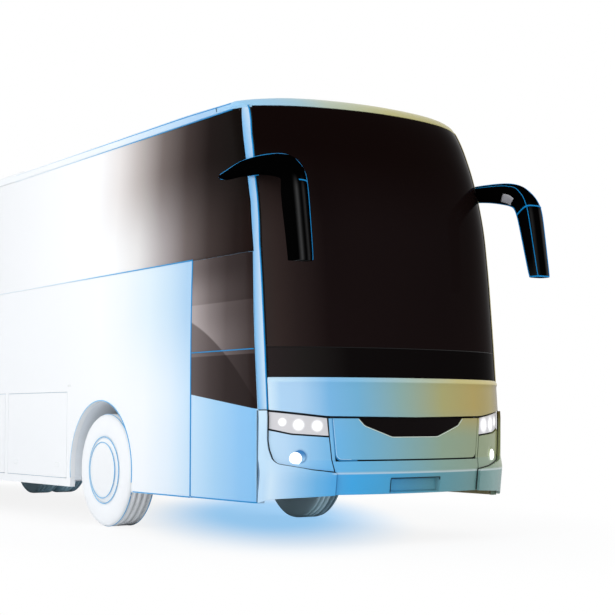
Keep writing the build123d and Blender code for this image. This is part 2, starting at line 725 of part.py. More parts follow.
# two ladders of high rails, one over each axle
Ladder = namedtuple("Ladder", "x0 x1 drop_x crosses")
ladders = [
    Ladder(rear_x + 80, drop_x[0] + drop, drop_x[0], (rear_x + 200, rear_wheel_x - 500, rear_wheel_x + 600)),
    Ladder(drop_x[1], nose_x - 560, drop_x[1], (front_wheel_x - 500, front_wheel_x + 500, nose_x - 640)),
]
with BuildPart() as chassis:
    for ladder in ladders:
        for side in (right, left):
            rail = sorted((side * rail_y[0], side * rail_y[1]))
            add(block(ladder.x0, ladder.x1, *rail, *rail_z))
            add(block(ladder.drop_x, ladder.drop_x + drop, *rail, low_rail_z[1], rail_z[0]))
        for x in ladder.crosses:
            add(block(x - 40, x + 40, -rail_y[0], rail_y[0], *cross_z))
    # jacking pads under the front ladder
    for side in (right, left):
        rail = sorted((side * rail_y[0], side * rail_y[1]))
        add(block(jack_x - 60, jack_x + 60, *rail, rail_z[0] - 20, rail_z[0]))
save(chassis.part, "chassis_frame")
# hold floor on its bearers and the low rails, with a bulkhead at each end
hold_floor = 20
with BuildPart() as hold:
    for side in (right, left):
        rail = sorted((side * rail_y[0], side * rail_y[1]))
        add(block(drop_x[0], drop_x[1] + drop, *rail, *low_rail_z))
    for x in (hold_x[0] + 100, (hold_x[0] + hold_x[1]) / 2, hold_x[1] - 120):
        add(block(x - 40, x + 40, -inner_y + 1, inner_y - 1, 400, low_rail_z[1]))
    z0 = low_rail_z[1]
    back_x, front_x = hold_x[0], hold_x[1] - 20
    add(block(back_x, front_x, -inner_y + 1, inner_y - 1, z0, z0 + hold_floor))
    add(block(back_x, back_x + hold_floor, -inner_y + 1, inner_y - 1, z0, deck_z[0]))
    add(block(front_x - hold_floor, front_x, -inner_y + 1, inner_y - 1, z0, deck_z[0]))
save(hold.part, "luggage_hold")
with BuildPart() as engine:
    with Locations((rear_x + 800, 0, rail_z[1] + 215)):
        Box(1100, 1000, 430)
    fillet(engine.edges(), 40)
save(engine.part, "engine")

# ---------------------------------------------------------------- axles and wheels
tyre_r = wheel_z
tyre_w = 310
wheel_y = 1085
twin_pitch = 345
kingpin_y = 900
spindle_r = 45
axle_z = wheel_z
front_hub_y = 995
front_spindle_end = 1180
rear_hub_y = 865
rear_spindle_end = 1050
axle_tube_end = 850
spring_r = 70
spring_y = (rail_y[0] + rail_y[1]) / 2

with BuildPart() as front_axle:
    add(block(front_wheel_x - 55, front_wheel_x + 55, -700, 700, axle_z - 110, axle_z - 20))
    for side in (right, left):
        add(block(front_wheel_x - 55, front_wheel_x + 55, *sorted((side * 690, side * 900)), axle_z - 60, axle_z + 60))
        with Locations((front_wheel_x, side * kingpin_y, axle_z)):
            Cylinder(60, 150)
            Cylinder(25.05, 160, mode=Mode.SUBTRACT)
        with Locations((front_wheel_x, side * spring_y, (axle_z - 20 + rail_z[0]) / 2)):
            Cylinder(spring_r, rail_z[0] - (axle_z - 20))
save(front_axle.part, "front_axle")

for side, word in ((right, "right"), (left, "left")):
    with BuildPart() as knuckle:
        with Locations((front_wheel_x, side * kingpin_y, axle_z)):
            Cylinder(25, 250)
        for z in (axle_z - 105, axle_z + 105):
            with Locations((front_wheel_x, side * (kingpin_y + 25), z)):
                Box(100, 130, 44)
        with Locations((front_wheel_x, side * (kingpin_y + 80), axle_z)):
            Box(100, 25, 254)
        with Locations((front_wheel_x, side * (kingpin_y + 80 + front_spindle_end) / 2, axle_z)):
            Cylinder(spindle_r, front_spindle_end - kingpin_y - 80, rotation=(90, 0, 0))
    save(knuckle.part, f"knuckle_{word}")

with BuildPart() as rear_axle:
    with Locations((rear_wheel_x, 0, axle_z)):
        Cylinder(75, 2 * axle_tube_end, rotation=(90, 0, 0))
        Sphere(210)
    for side in (right, left):
        with Locations((rear_wheel_x, side * (axle_tube_end - 20 + rear_spindle_end) / 2, axle_z)):
            Cylinder(spindle_r, rear_spindle_end - axle_tube_end + 20, rotation=(90, 0, 0))
        # air springs stand fore and aft on a beam under the axle and carry the rails
        for x in (-330, 330):
            with Locations((rear_wheel_x + x, side * spring_y, (520 + rail_z[0]) / 2)):
                Cylinder(spring_r, rail_z[0] - 520)
        add(block(rear_wheel_x - 400, rear_wheel_x + 400, *sorted((side * rail_y[0], side * rail_y[1])), 480, 530))
save(rear_axle.part, "rear_axle")

TyrePoint = namedtuple("TyrePoint", "r y")
tyre_profile = [
    TyrePoint(286, -118), TyrePoint(300, -132), TyrePoint(380, -152), TyrePoint(450, -155),
    TyrePoint(505, -142), TyrePoint(526, -128), TyrePoint(tyre_r, -105),
]


def tyre_at(y):
    """Tyre ring centred at a place along Y; profile of radius against width."""
    half = [(p.y, p.r) for p in tyre_profile]
    points = half + [(-a, r) for a, r in half[::-1]]
    with BuildPart() as ring:
        with BuildSketch(Plane.YZ):
            with BuildLine():
                Polyline(*points, close=True)
            make_face()
        revolve(axis=Axis.Y, revolution_arc=360)
    return ring.part.moved(Location((0, y, 0)))


RimPoint = namedtuple("RimPoint", "r y")
rim_r = 285.8  # the tyre's bead seat
# half of the barrel, from its middle out to the flange
rim_profile = [
    RimPoint(rim_r - 40, 0), RimPoint(rim_r - 40, 40), RimPoint(rim_r, 62), RimPoint(rim_r, 117.8),
    RimPoint(rim_r + 12, 130), RimPoint(rim_r + 12, 138), RimPoint(rim_r - 12, 124), RimPoint(rim_r - 12, 66),
    RimPoint(rim_r - 52, 44), RimPoint(rim_r - 52, 0),
]
disc_t = 14
dish_y = 80  # the disc leaves the barrel this far from the wheel's middle
disc_offset = 130  # front: face of the disc ahead of the wheel's middle
flat_r = 190  # flat bolting face of the disc
hub_r = 120
hand_holes = 10
hand_hole_r = 24


def wheel_at(y, disc_y):
    """Steel wheel centred at y: barrel with flanges, and a dished disc out to disc_y with its hand holes."""
    way = 1 if disc_y > y else -1
    join_y = y + way * dish_y
    dish_points = [
        (disc_y - disc_t / 2, hub_r - 20), (disc_y + disc_t / 2, hub_r - 20), (disc_y + disc_t / 2, flat_r),
        (join_y + disc_t / 2, rim_r - 6), (join_y - disc_t / 2, rim_r - 6), (disc_y - disc_t / 2, flat_r),
    ]
    with BuildPart() as wheel:
        with BuildSketch(Plane.YZ):
            for half in (1, -1):
                with BuildLine():
                    Polyline(*[(y + half * p.y, p.r) for p in rim_profile], close=True)
                make_face()
            with BuildLine():
                Polyline(*dish_points, close=True)
            make_face()
        revolve(axis=Axis.Y, revolution_arc=360)
        hole_r = (flat_r + rim_r - 12) / 2
        for i in range(hand_holes):
            a = radians(360 / hand_holes * i)
            with Locations(Location((hole_r * cos(a), (disc_y + join_y) / 2, hole_r * sin(a)))):
                Cylinder(hand_hole_r, abs(disc_y - join_y) + 40, rotation=(90, 0, 0), mode=Mode.SUBTRACT)
    return wheel.part


def hub_between(y0, y1, bore_end):
    """Wheel hub from y0 to y1, bored from y0 to bore_end for the spindle."""
    with BuildPart() as hub:
        with Locations(Location((0, (y0 + y1) / 2, 0))):
            Cylinder(hub_r, abs(y1 - y0), rotation=(90, 0, 0))
        with Locations(Location((0, (y0 + bore_end) / 2, 0))):
            Cylinder(spindle_r + 0.05, abs(bore_end - y0), rotation=(90, 0, 0), mode=Mode.SUBTRACT)
    return hub.part


for side, word in ((right, "right"), (left, "left")):
    # single front wheel, its disc outwards
    at_front = Location((front_wheel_x, 0, axle_z))
    save(tyre_at(side * wheel_y).moved(at_front), f"front_tyre_{word}")
    hub_end = wheel_y + disc_offset + disc_t
    with BuildPart() as front_rim:
        add(wheel_at(side * wheel_y, side * (wheel_y + disc_offset)))
        add(hub_between(side * front_hub_y, side * hub_end, side * (front_spindle_end + 10)))
        with Locations(Location((0, side * (hub_end + 9), 0))):
            Cylinder(75, 22, rotation=(90, 0, 0))
    save(front_rim.part.moved(at_front), f"front_wheel_{word}")
    # twin rear wheels, their discs back to back
    at_rear = Location((rear_wheel_x, 0, axle_z))
    inner_wheel_y = wheel_y - twin_pitch
    with BuildPart() as pair:
        add(tyre_at(side * wheel_y))
        add(tyre_at(side * inner_wheel_y))
    save(pair.part.moved(at_rear), f"rear_tyres_{word}")
    mid = (wheel_y + inner_wheel_y) / 2
    with BuildPart() as twin_rim:
        add(wheel_at(side * wheel_y, side * (mid + disc_t / 2)))
        add(wheel_at(side * inner_wheel_y, side * (mid - disc_t / 2)))
        add(hub_between(side * rear_hub_y, side * (rear_spindle_end + 40), side * (rear_spindle_end + 10)))
        with Locations(Location((0, side * (rear_spindle_end + 50), 0))):
            Cylinder(80, 30, rotation=(90, 0, 0))
    save(twin_rim.part.moved(at_rear), f"rear_wheels_{word}")

# ---------------------------------------------------------------- inside
with BuildPart() as dashboard:
    with BuildSketch(Plane.XZ.offset(-1100)):
        with BuildLine():
            Polyline(
                (corner_x - 260, cockpit_z[1]), (corner_x - 80, cockpit_z[1]), (corner_x + 40, 1300),
                (corner_x + 40, 1350), (corner_x - 180, 1400), (corner_x - 330, 1330), (corner_x - 330, 1280),
                close=True,
            )
        make_face()
    extrude(amount=2200)
    add(core(lower_levels, 151), mode=Mode.INTERSECT)
    add(block(corner_x - 800, corner_x + 100, -1300, -1080, 0, 2000), mode=Mode.SUBTRACT)
    add(block(corner_x - 800, corner_x - 225, -1300, step_y + 20, 0, 2000), mode=Mode.SUBTRACT)
save(dashboard.part, "dashboard")
wheel_centre = (corner_x - 520, 640, 1330)
with BuildPart() as steering:
    column_plane = Plane(origin=wheel_centre, z_dir=(-0.42, 0, 0.91))
    with BuildSketch(column_plane):
        Circle(225)
        Circle(200, mode=Mode.SUBTRACT)
        Rectangle(420, 36)
    extrude(amount=24)
    # column down to the cockpit floor
    with BuildSketch(column_plane):
        Circle(48)
    extrude(amount=-520)
    add(block(corner_x - 900, nose_x, 300, 1000, 0, cockpit_z[1]), mode=Mode.SUBTRACT)
save(steering.part, "steering_wheel")


def seat_profile(x, floor, depth):
    """Side view of a seat: base, cushion and reclined back, facing forward."""
    return [
        (x, floor), (x + depth - 90, floor), (x + depth - 60, floor + 300), (x + depth, floor + 330),
        (x + depth, floor + 430), (x + 120, floor + 420), (x - 60, floor + 1130), (x - 150, floor + 1120),
        (x - 20, floor + 320),
    ]


with BuildPart() as driver_seat:
    add(side_mask(seat_profile(corner_x - 1330, cockpit_z[1], 480), 390, 890))
save(driver_seat.part, "driver_seat")
seat_pitch = 800
first_seat_x = cockpit_back_x - 900
with BuildPart() as seats:
    for row in range(11):
        x = first_seat_x - row * seat_pitch
        add(side_mask(seat_profile(x, deck_z[1], 460), 250, 1150))
        if not middle_well_x[0] - 560 < x < middle_well_x[1] + 160:
            add(side_mask(seat_profile(x, deck_z[1], 460), -1150, -250))
save(seats.part, "passenger_seats")

# ---------------------------------------------------------------- mirrors
# side view of an arm: it leaves the flank as a leaf, arches forward and ends over the head
arm_top = [(-735, 3062), (-520, 3150), (-350, 3182), (-100, 3178), (196, 3145), (412, 3078), (530, 2985), (570, 2905)]
arm_under = [(300, 2905), (167, 2950), (-20, 3010), (-195, 3042), (-368, 3040)]
arm_y = (1130, 1235)
HeadSection = namedtuple("HeadSection", "z x y length width")
head_sections = [HeadSection(2260, 540, 1235, 120, 180), HeadSection(2905, 480, 1215, 150, 225)]
with BuildPart() as mirrors:
    for side in (right, left):
        points = [(corner_x + x, z) for x, z in arm_top + arm_under]
        add(side_mask(points, *sorted((side * arm_y[0], side * arm_y[1]))))
    with BuildPart(mode=Mode.PRIVATE) as body:
        add(core(upper_levels, 0))
    add(body.part, mode=Mode.SUBTRACT)
    for side in (right, left):
        for s in head_sections:
            with BuildSketch(Plane.XY.offset(s.z)):
                with Locations((corner_x + s.x, side * s.y)):
                    RectangleRounded(s.length, s.width, 50)
        loft(ruled=True)
save(mirrors.part, "mirrors")
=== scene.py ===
"""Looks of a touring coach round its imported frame, in metres: +X forward, +Y to the driver's side, +Z up."""

from math import cos, pi, radians, sin

import bpy
import numpy as np
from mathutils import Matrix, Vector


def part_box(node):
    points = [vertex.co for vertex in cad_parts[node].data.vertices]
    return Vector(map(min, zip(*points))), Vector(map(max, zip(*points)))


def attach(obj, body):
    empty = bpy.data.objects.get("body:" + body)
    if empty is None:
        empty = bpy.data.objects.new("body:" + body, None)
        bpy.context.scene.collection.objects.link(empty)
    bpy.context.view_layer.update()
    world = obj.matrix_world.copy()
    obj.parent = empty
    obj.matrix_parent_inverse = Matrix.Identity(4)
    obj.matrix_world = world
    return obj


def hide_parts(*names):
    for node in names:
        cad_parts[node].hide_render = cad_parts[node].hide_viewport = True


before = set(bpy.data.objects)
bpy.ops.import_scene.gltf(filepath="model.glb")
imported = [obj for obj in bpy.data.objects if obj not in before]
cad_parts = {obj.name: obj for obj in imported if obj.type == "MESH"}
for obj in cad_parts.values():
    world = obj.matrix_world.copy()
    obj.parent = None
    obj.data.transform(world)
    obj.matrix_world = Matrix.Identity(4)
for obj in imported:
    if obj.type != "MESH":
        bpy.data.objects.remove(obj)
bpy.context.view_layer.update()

# ---------------------------------------------------------------- camera
# Stands low at the right front corner, about 12 m off, with a long lens and no shift.
body_length, nose_bow = 12.2, 0.3704
rear_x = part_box("rear_wall")[0].x
corner_x = rear_x + body_length - nose_bow
camera = bpy.data.objects.new("camera", bpy.data.cameras.new("camera"))
camera.location = (corner_x + 9.8758, -7.4845, 1.0598)
camera.rotation_euler = (radians(94.2281), 0, radians(55.997))
camera.data.lens = 85.49
camera.data.sensor_width = 36
bpy.context.scene.collection.objects.link(camera)
bpy.context.scene.camera = camera
bpy.context.scene.view_settings.view_transform = "Standard"

# ---------------------------------------------------------------- studio
# A white room: even light from all round, and three broad soft lamps that give the forms a gentle slope
# of tone.


def feed(tree, node, inputs):
    """Links each input of a shader node, by name or number, to a socket, or sets it to a plain value."""
    for label, value in inputs.items():
        if isinstance(value, bpy.types.NodeSocket):
            tree.links.new(value, node.inputs[label])
        else:
            node.inputs[label].default_value = value


def add(tree, kind, inputs=(), **settings):
    """New shader node of a kind, with its settings and its inputs."""
    made = tree.nodes.new("ShaderNode" + kind)
    for setting, value in settings.items():
        setattr(made, setting, value)
    feed(tree, made, dict(inputs))
    return made


def mixed(tree, share, first, second):
    """Colour mix of two colours or sockets by a share."""
    return add(tree, "Mix", {"Factor": share, 6: first, 7: second}, data_type="RGBA").outputs[2]


world = bpy.data.worlds.new("studio")
bpy.context.scene.world = world
world.use_nodes = True
sky = world.node_tree
rays = add(sky, "LightPath").outputs
seen = add(sky, "Math", {0: rays["Is Camera Ray"], 1: rays["Is Glossy Ray"]}, operation="MAXIMUM")
seen = add(sky, "Math", {0: seen.outputs[0], 1: rays["Is Transmission Ray"]}, operation="MAXIMUM")
room_light = sky.nodes["Background"]
feed(sky, room_light, {"Color": (0.99, 0.99, 1.0, 1), "Strength": 0.66})
white = add(sky, "Background", {"Color": (1, 1, 1, 1), "Strength": 1.0})
choose = add(sky, "MixShader", {0: seen.outputs[0], 1: room_light.outputs[0], 2: white.outputs[0]})
feed(sky, sky.nodes["World Output"], {"Surface": choose.outputs[0]})

for name, place, turn, size, power in (
    ("lamp_right", (9, -13, 8), (60, 0, 35), 9, 760),
    ("lamp_left", (10, 12, 9), (55, 0, 140), 9, 500),
    ("lamp_rear", (-13, -4, 9), (55, 0, -75), 9, 500),
):
    lamp = bpy.data.objects.new(name, bpy.data.lights.new(name, "AREA"))
    lamp.data.size = size
    lamp.data.energy = power
    lamp.location = place
    lamp.visible_glossy = False
    lamp.rotation_euler = [radians(a) for a in turn]
    bpy.context.scene.collection.objects.link(lamp)

# Floor: a pale sheet with a painted sky-blue glow under the coach, white further out. Most of what the camera
# sees of it is this colour given off as light, so that the coach's shadow lies on it lightly.
floor_paint = bpy.data.materials.new("floor_white")
floor_paint.use_nodes = True
tree = floor_paint.node_tree
floor_shader = tree.nodes["Principled BSDF"]
feed(tree, floor_shader, {"Base Color": (0.93, 0.95, 0.97, 1), "Roughness": 0.9, "Specular IOR Level": 0.0})


def floor_spread(middle, radii, turned, start, end):
    """Soft spread on the floor, an ellipse turned about its middle: 0 inside start and 1 past end, as shares
    of the radii."""
    placed = {
        "Vector": add(tree, "TexCoord").outputs["Object"],
        "Location": (*middle, 0),
        "Rotation": (0, 0, radians(turned)),
        "Scale": (*radii, 1),
    }
    centred = add(tree, "Mapping", placed, vector_type="TEXTURE")
    distance = add(tree, "VectorMath", {0: centred.outputs[0]}, operation="LENGTH")
    limits = {"Value": distance.outputs["Value"], "From Min": start, "From Max": end}
    return add(tree, "MapRange", limits, interpolation_type="SMOOTHSTEP").outputs[0]


painted_glow_colour = mixed(tree, floor_spread((2.1, 1.02), (4.0, 1.16), -29, 0.36, 1.3), (0.33, 0.63, 0.95, 1), (1, 1, 1, 1))
emitted_colour = add(tree, "Emission", {"Color": painted_glow_colour})
outskirts = floor_spread((0, 0), (9.5, 4.6), 0, 0.55, 1.0)
share = add(tree, "MapRange", {"Value": outskirts, "To Min": 0.88, "To Max": 1.0}).outputs[0]
by_camera = add(tree, "LightPath").outputs["Is Camera Ray"]
only_seen = add(tree, "Math", {0: share, 1: by_camera}, operation="MULTIPLY")
blend = add(tree, "MixShader", {0: only_seen.outputs[0], 1: floor_shader.outputs[0], 2: emitted_colour.outputs[0]})
feed(tree, tree.nodes["Material Output"], {"Surface": blend.outputs[0]})


def shaped(name, points, faces, material):
    """Mesh object of the given points and faces, smooth shaded, in one material."""
    mesh = bpy.data.meshes.new(name)
    mesh.from_pydata(points.tolist(), [], faces.tolist())
    mesh.polygons.foreach_set("use_smooth", np.ones(len(faces), bool))
    mesh.materials.append(material)
    made = bpy.data.objects.new(name, mesh)
    bpy.context.scene.collection.objects.link(made)
    return made


reach = 60.0
corners = np.array([[-reach, -reach, 0], [-reach, reach, 0], [reach, -reach, 0], [reach, reach, 0]])
shaped("floor", corners, np.array([[0, 2, 3, 1]]), floor_paint)

# ---------------------------------------------------------------- finishes
# Shared effects are node groups; each finish is a material of its own, in one colour until one is laid over it.


def srgb(red, green, blue):
    """A colour given on the 0 to 255 scale, as the linear colour that shaders take."""
    level = np.array([red, green, blue]) / 255
    linear = np.where(level < 0.04045, level / 12.92, ((level + 0.055) / 1.055) ** 2.4)
    return (*linear.tolist(), 1)


# Orange peel and grain: a fine bump height, and a slow change of gloss from hand polishing.
peel = bpy.data.node_groups.new("surface_grain", "ShaderNodeTree")
for label, value in (("Grain Scale", 60.0), ("Roughness", 0.3), ("Spread", 0.06)):
    socket = peel.interface.new_socket(name=label, in_out="INPUT", socket_type="NodeSocketFloat")
    socket.default_value = value
for label in ("Height", "Roughness"):
    peel.interface.new_socket(name=label, in_out="OUTPUT", socket_type="NodeSocketFloat")
given = peel.nodes.new("NodeGroupInput").outputs
spot = add(peel, "TexCoord").outputs["Object"]
fine = add(peel, "TexNoise", {"Vector": spot, "Scale": given["Grain Scale"], "Detail": 3})
slow = add(peel, "TexNoise", {"Vector": spot, "Scale": 1.3, "Detail": 4})
centre = add(peel, "Math", {0: slow.outputs["Fac"], 1: 0.5}, operation="SUBTRACT")
swing = {0: centre.outputs[0], 1: given["Spread"], 2: given["Roughness"]}
swing = add(peel, "Math", swing, operation="MULTIPLY_ADD")
peel_out = peel.nodes.new("NodeGroupOutput")
feed(peel, peel_out, {"Height": fine.outputs["Fac"], "Roughness": swing.outputs[0]})


def finish(
    name, colour, roughness, metallic=0.0, ior=1.45, coat=0.0, gloss=0.5,
    grain=60.0, spread=0.06, bump=0.05, depth=0.001,
):
    """Principled material in one colour, with its grain and its change of gloss from the shared group."""
    made = bpy.data.materials.new(name)
    made.use_nodes = True
    tree = made.node_tree
    skin = add(tree, "Group", node_tree=peel)
    feed(tree, skin, {"Grain Scale": grain, "Roughness": roughness, "Spread": spread})
    ripple = add(tree, "Bump", {"Height": skin.outputs["Height"], "Strength": bump, "Distance": depth})
    feed(tree, tree.nodes["Principled BSDF"], {
        "Base Color": colour,
        "Metallic": metallic,
        "IOR": ior,
        "Specular IOR Level": gloss,
        "Coat Weight": coat,
        "Coat Roughness": 0.08,
        "Roughness": skin.outputs["Roughness"],
        "Normal": ripple.outputs[0],
    })
    return made


def coordinate(tree, axis):
    """One object coordinate, in metres."""
    return add(tree, "SeparateXYZ", {0: add(tree, "TexCoord").outputs["Object"]}).outputs[axis]


def ramp_along(tree, axis, low, high, *stops):
    """Colour ramp over one object coordinate from low to high; each stop is a place in metres and a colour."""
    span = add(tree, "MapRange", {"Value": coordinate(tree, axis), "From Min": low, "From Max": high})
    ramp = add(tree, "ValToRGB", {0: span.outputs[0]})
    while len(ramp.color_ramp.elements) < len(stops):
        ramp.color_ramp.elements.new(0.5)
    for element, (place, *colour) in zip(ramp.color_ramp.elements, stops):
        element.position = (place - low) / (high - low)
        element.color = srgb(*colour)
    return ramp.outputs["Color"]


def share_along(tree, axis, start, end):
    """0 before start and 1 past end along one object coordinate, with a soft step between."""
    rising = start < end
    limits = {
        "Value": coordinate(tree, axis),
        "From Min": min(start, end),
        "From Max": max(start, end),
        "To Min": 0 if rising else 1,
        "To Max": 1 if rising else 0,
    }
    return add(tree, "MapRange", limits, interpolation_type="SMOOTHSTEP").outputs[0]


def laid_on(material, colour):
    """Puts a colour socket on a material's base."""
    feed(material.node_tree, material.node_tree.nodes["Principled BSDF"], {"Base Color": colour})


# Coach paint: two-pack gloss, sky blue on the right, blending through sea green to sand on the left,
# and fading to white along both flanks. The bumper under the crease is a deeper blue. The blend across the
# nose is partly livery and partly painted reflection and shade, with painted highlights on the ledge, the
# crease and the right front corner.
nose_span, flank_span, over_middle = ("Y", -1.25, 1.25), ("X", -6.2, 5.6), ("Y", -0.3, 0.3)
# The palest stops at the right end of the nose rows are a painted highlight down the front corner.
panel_stops = (
    (-1.25, 205, 232, 248), (-1.19, 204, 230, 248), (-1.13, 176, 213, 243), (-1.0, 174, 212, 243),
    (-0.78, 122, 186, 231), (-0.55, 116, 181, 217), (-0.15, 142, 176, 170), (0.3, 172, 168, 112),
    (0.7, 178, 158, 90), (1.0, 162, 146, 80), (1.2, 98, 80, 10),
)
ledge_highlight_stops = (
    (-1.25, 205, 232, 248), (-1.0, 182, 219, 246), (-0.78, 136, 195, 238), (-0.55, 136, 196, 230),
    (-0.05, 172, 196, 186), (0.5, 203, 193, 128), (1.0, 205, 190, 124), (1.2, 180, 168, 110),
)
flap_stops = (
    (-1.25, 196, 226, 247), (-1.1, 188, 220, 246), (-0.92, 150, 202, 240), (-0.72, 112, 187, 235),
    (-0.5, 114, 182, 217), (-0.1, 132, 176, 182), (0.3, 146, 169, 146), (0.7, 148, 162, 132),
    (1.0, 146, 158, 122), (1.2, 146, 152, 104),
)
bumper_stops = (
    (-1.25, 190, 221, 245), (-1.21, 208, 232, 249), (-1.14, 184, 218, 245), (-1.03, 148, 200, 238),
    (-0.9, 110, 184, 234), (-0.78, 86, 176, 235), (-0.6, 66, 174, 236), (-0.2, 76, 166, 212),
    (0.2, 96, 158, 174), (0.7, 112, 151, 150), (1.0, 124, 160, 156), (1.2, 92, 132, 124),
)
flank_stops = (
    (-6.2, 222, 234, 243), (-5.4, 240, 243, 246), (1.5, 247, 249, 251), (2.9, 250, 252, 253),
    (3.6, 245, 249, 253), (4.1, 226, 239, 250), (4.5, 194, 224, 246), (4.9, 162, 207, 240),
    (5.3, 136, 193, 237), (5.6, 128, 190, 236),
)
flank_high_stops = (
    (-6.2, 222, 234, 243), (-5.4, 240, 243, 246), (1.5, 247, 249, 251), (2.7, 250, 252, 253),
    (3.2, 240, 246, 250), (3.7, 221, 237, 246), (4.1, 196, 222, 241), (4.4, 168, 205, 235),
    (5.6, 132, 193, 237),
)
sand_stops = (
    (-6.2, 222, 234, 243), (-5.4, 240, 243, 246), (2.7, 245, 245, 243), (3.6, 240, 239, 231),
    (4.5, 214, 208, 176), (5.6, 150, 138, 84),
)
gel = dict(grain=420.0, spread=0.05, bump=0.03, depth=0.0004)
paint = finish("coach_paint", (0.5, 0.7, 0.9, 1), 0.24, ior=1.3, coat=0.06, **gel)
tree = paint.node_tree
upper, ledge_highlight, middle, lower = (
    ramp_along(tree, *nose_span, *stops) for stops in (panel_stops, ledge_highlight_stops, flap_stops, bumper_stops)
)
# A painted highlight along the rolled ledge at the top of the upper panel.
upper = mixed(tree, share_along(tree, "Z", 1.322, 1.336), upper, ledge_highlight)
front = mixed(tree, share_along(tree, "Z", 0.84, 1.14), middle, upper)
front = mixed(tree, share_along(tree, "Z", 0.712, 0.692), front, mixed(tree, 0.33, front, lower))
corner = mixed(tree, share_along(tree, "Z", 0.70, 0.52), front, lower)
# A painted highlight along the bumper crease, half way to a pale blue.
front = mixed(tree, share_along(tree, "Z", 0.614, 0.595), front, mixed(tree, 0.5, front, srgb(225, 240, 248)))
front = mixed(tree, share_along(tree, "Z", 0.593, 0.585), front, lower)
front = mixed(tree, share_along(tree, "Y", -0.80, -0.75), corner, front)
right, right_high, left = (
    ramp_along(tree, *flank_span, *stops) for stops in (flank_stops, flank_high_stops, sand_stops)
)
right = mixed(tree, share_along(tree, "Z", 1.1, 2.1), right, right_high)
flanks = mixed(tree, share_along(tree, *over_middle), right, left)
laid_on(paint, mixed(tree, share_along(tree, "X", corner_x - 0.10, corner_x - 0.03), flanks, front))

# Roof strip and corner posts are the same paint, but sky blue for the whole front edge's right half; the blend
# to sand along that edge is partly painted reflection, as on the nose.
roof_paint = finish("roof_paint", (0.5, 0.7, 0.9, 1), 0.3, ior=1.25, **gel)
tree = roof_paint.node_tree
edge = ramp_along(
    tree, "Y", -1.2, 1.2, (-1.2, 152, 203, 238), (-0.9, 160, 200, 222), (-0.75, 162, 198, 210),
    (-0.5, 182, 196, 178), (0.1, 190, 186, 130), (1.2, 176, 166, 108),
)
right = ramp_along(
    tree, "X", -6.2, 5.4, (-6.2, 232, 238, 243), (1.5, 246, 249, 251), (2.8, 236, 244, 250),
    (3.9, 190, 218, 240), (4.5, 166, 202, 234), (5.3, 158, 202, 234),
)
side = mixed(tree, share_along(tree, *over_middle), right, ramp_along(tree, *flank_span, *sand_stops))
laid_on(roof_paint, mixed(tree, share_along(tree, "X", 4.6, 5.25), side, edge))
lean_from, lean_by = 1.5, 65.2
post_paint = finish("post_paint", (0.5, 0.7, 0.9, 1), 0.26, ior=1.25, **gel)
tree = post_paint.node_tree
height = add(tree, "Math", {0: coordinate(tree, "Z"), 1: lean_from}, operation="SUBTRACT")
lean = add(tree, "Math", {0: height.outputs[0], 1: 2}, operation="POWER")
from_middle = add(tree, "Math", {0: coordinate(tree, "Y")}, operation="ABSOLUTE")
lateral = {0: lean.outputs[0], 1: 1 / lean_by, 2: from_middle.outputs[0]}
lateral = add(tree, "Math", lateral, operation="MULTIPLY_ADD")
across = add(tree, "MapRange", {"Value": lateral.outputs[0], "From Min": 1.214, "From Max": 1.268})
# On the right the cover is painted near white at its front, a painted highlight, and blue towards the flank; on
# the left it is sand.
right = ramp_along(
    tree, "Z", 1.0, 3.7, (1.1, 204, 228, 243), (2.0, 210, 230, 243), (2.4, 214, 230, 243),
    (3.0, 204, 226, 242), (3.5, 190, 218, 240),
)
right = mixed(tree, across.outputs[0], right, srgb(92, 172, 228))
laid_on(post_paint, mixed(tree, share_along(tree, *over_middle), right, srgb(196, 184, 134)))

# Everyday finishes for pieces carried over from the frame.
trim_black = finish("trim_black", srgb(26, 25, 26), 0.45, ior=1.4, grain=300.0)
steel_paint = finish("underframe_black", srgb(48, 50, 53), 0.6, grain=45.0, bump=0.2, depth=0.002)

# ---------------------------------------------------------------- upper front panel
# The painted panel across the nose under the glass: moulded glass-fibre, clipped to the front frame,
# standing 12 mm proud of the lamps, with a rolled ledge along its top.
half = 2.55 / 2
nose_turn, cheek_turn = radians(16.6), radians(42.1)
cheek_r, post_corner_r = 1.211, 0.2
cheek_width = cheek_r * (sin(cheek_turn) - sin(nose_turn))
corner_width = post_corner_r * (1 - sin(cheek_turn))
nose_end = (half - cheek_width - corner_width) / sin(nose_turn) * nose_turn
cheek_end = nose_end + cheek_r * (cheek_turn - nose_turn)
flank_start = cheek_end + post_corner_r * (pi / 2 - cheek_turn)
set_back_z = [0.34, 0.60, 0.622, 0.706, 1.045, 1.37, 1.90, 2.40, 2.75, 3.05, 3.35, 3.64, 3.69]
set_back_x = [-0.015, 0.021, 0.020, 0.0, 0.006, -0.020, -0.062, -0.103, -0.143, -0.210, -0.308, -0.450, -0.486]


def set_back(z):
    """How far the nose stands ahead of the corner line at height z: straight below the windscreen,
    a smooth cubic through the listed heights above it."""
    z = np.asarray(z, float)
    heights, moves = np.array(set_back_z[5:]), np.array(set_back_x[5:])
    rates = np.gradient(moves, heights)
    i = np.clip(np.searchsorted(heights, z) - 1, 0, len(heights) - 2)
    step = heights[i + 1] - heights[i]
    t = np.clip((z - heights[i]) / step, 0, 1)
    curved = (
        (2 * t**3 - 3 * t**2 + 1) * moves[i]
        + (t**3 - 2 * t**2 + t) * step * rates[i]
        + (3 * t**2 - 2 * t**3) * moves[i + 1]
        + (t**3 - t**2) * step * rates[i + 1]
    )
    return np.where(z < set_back_z[5], np.interp(z, set_back_z, set_back_x), curved)


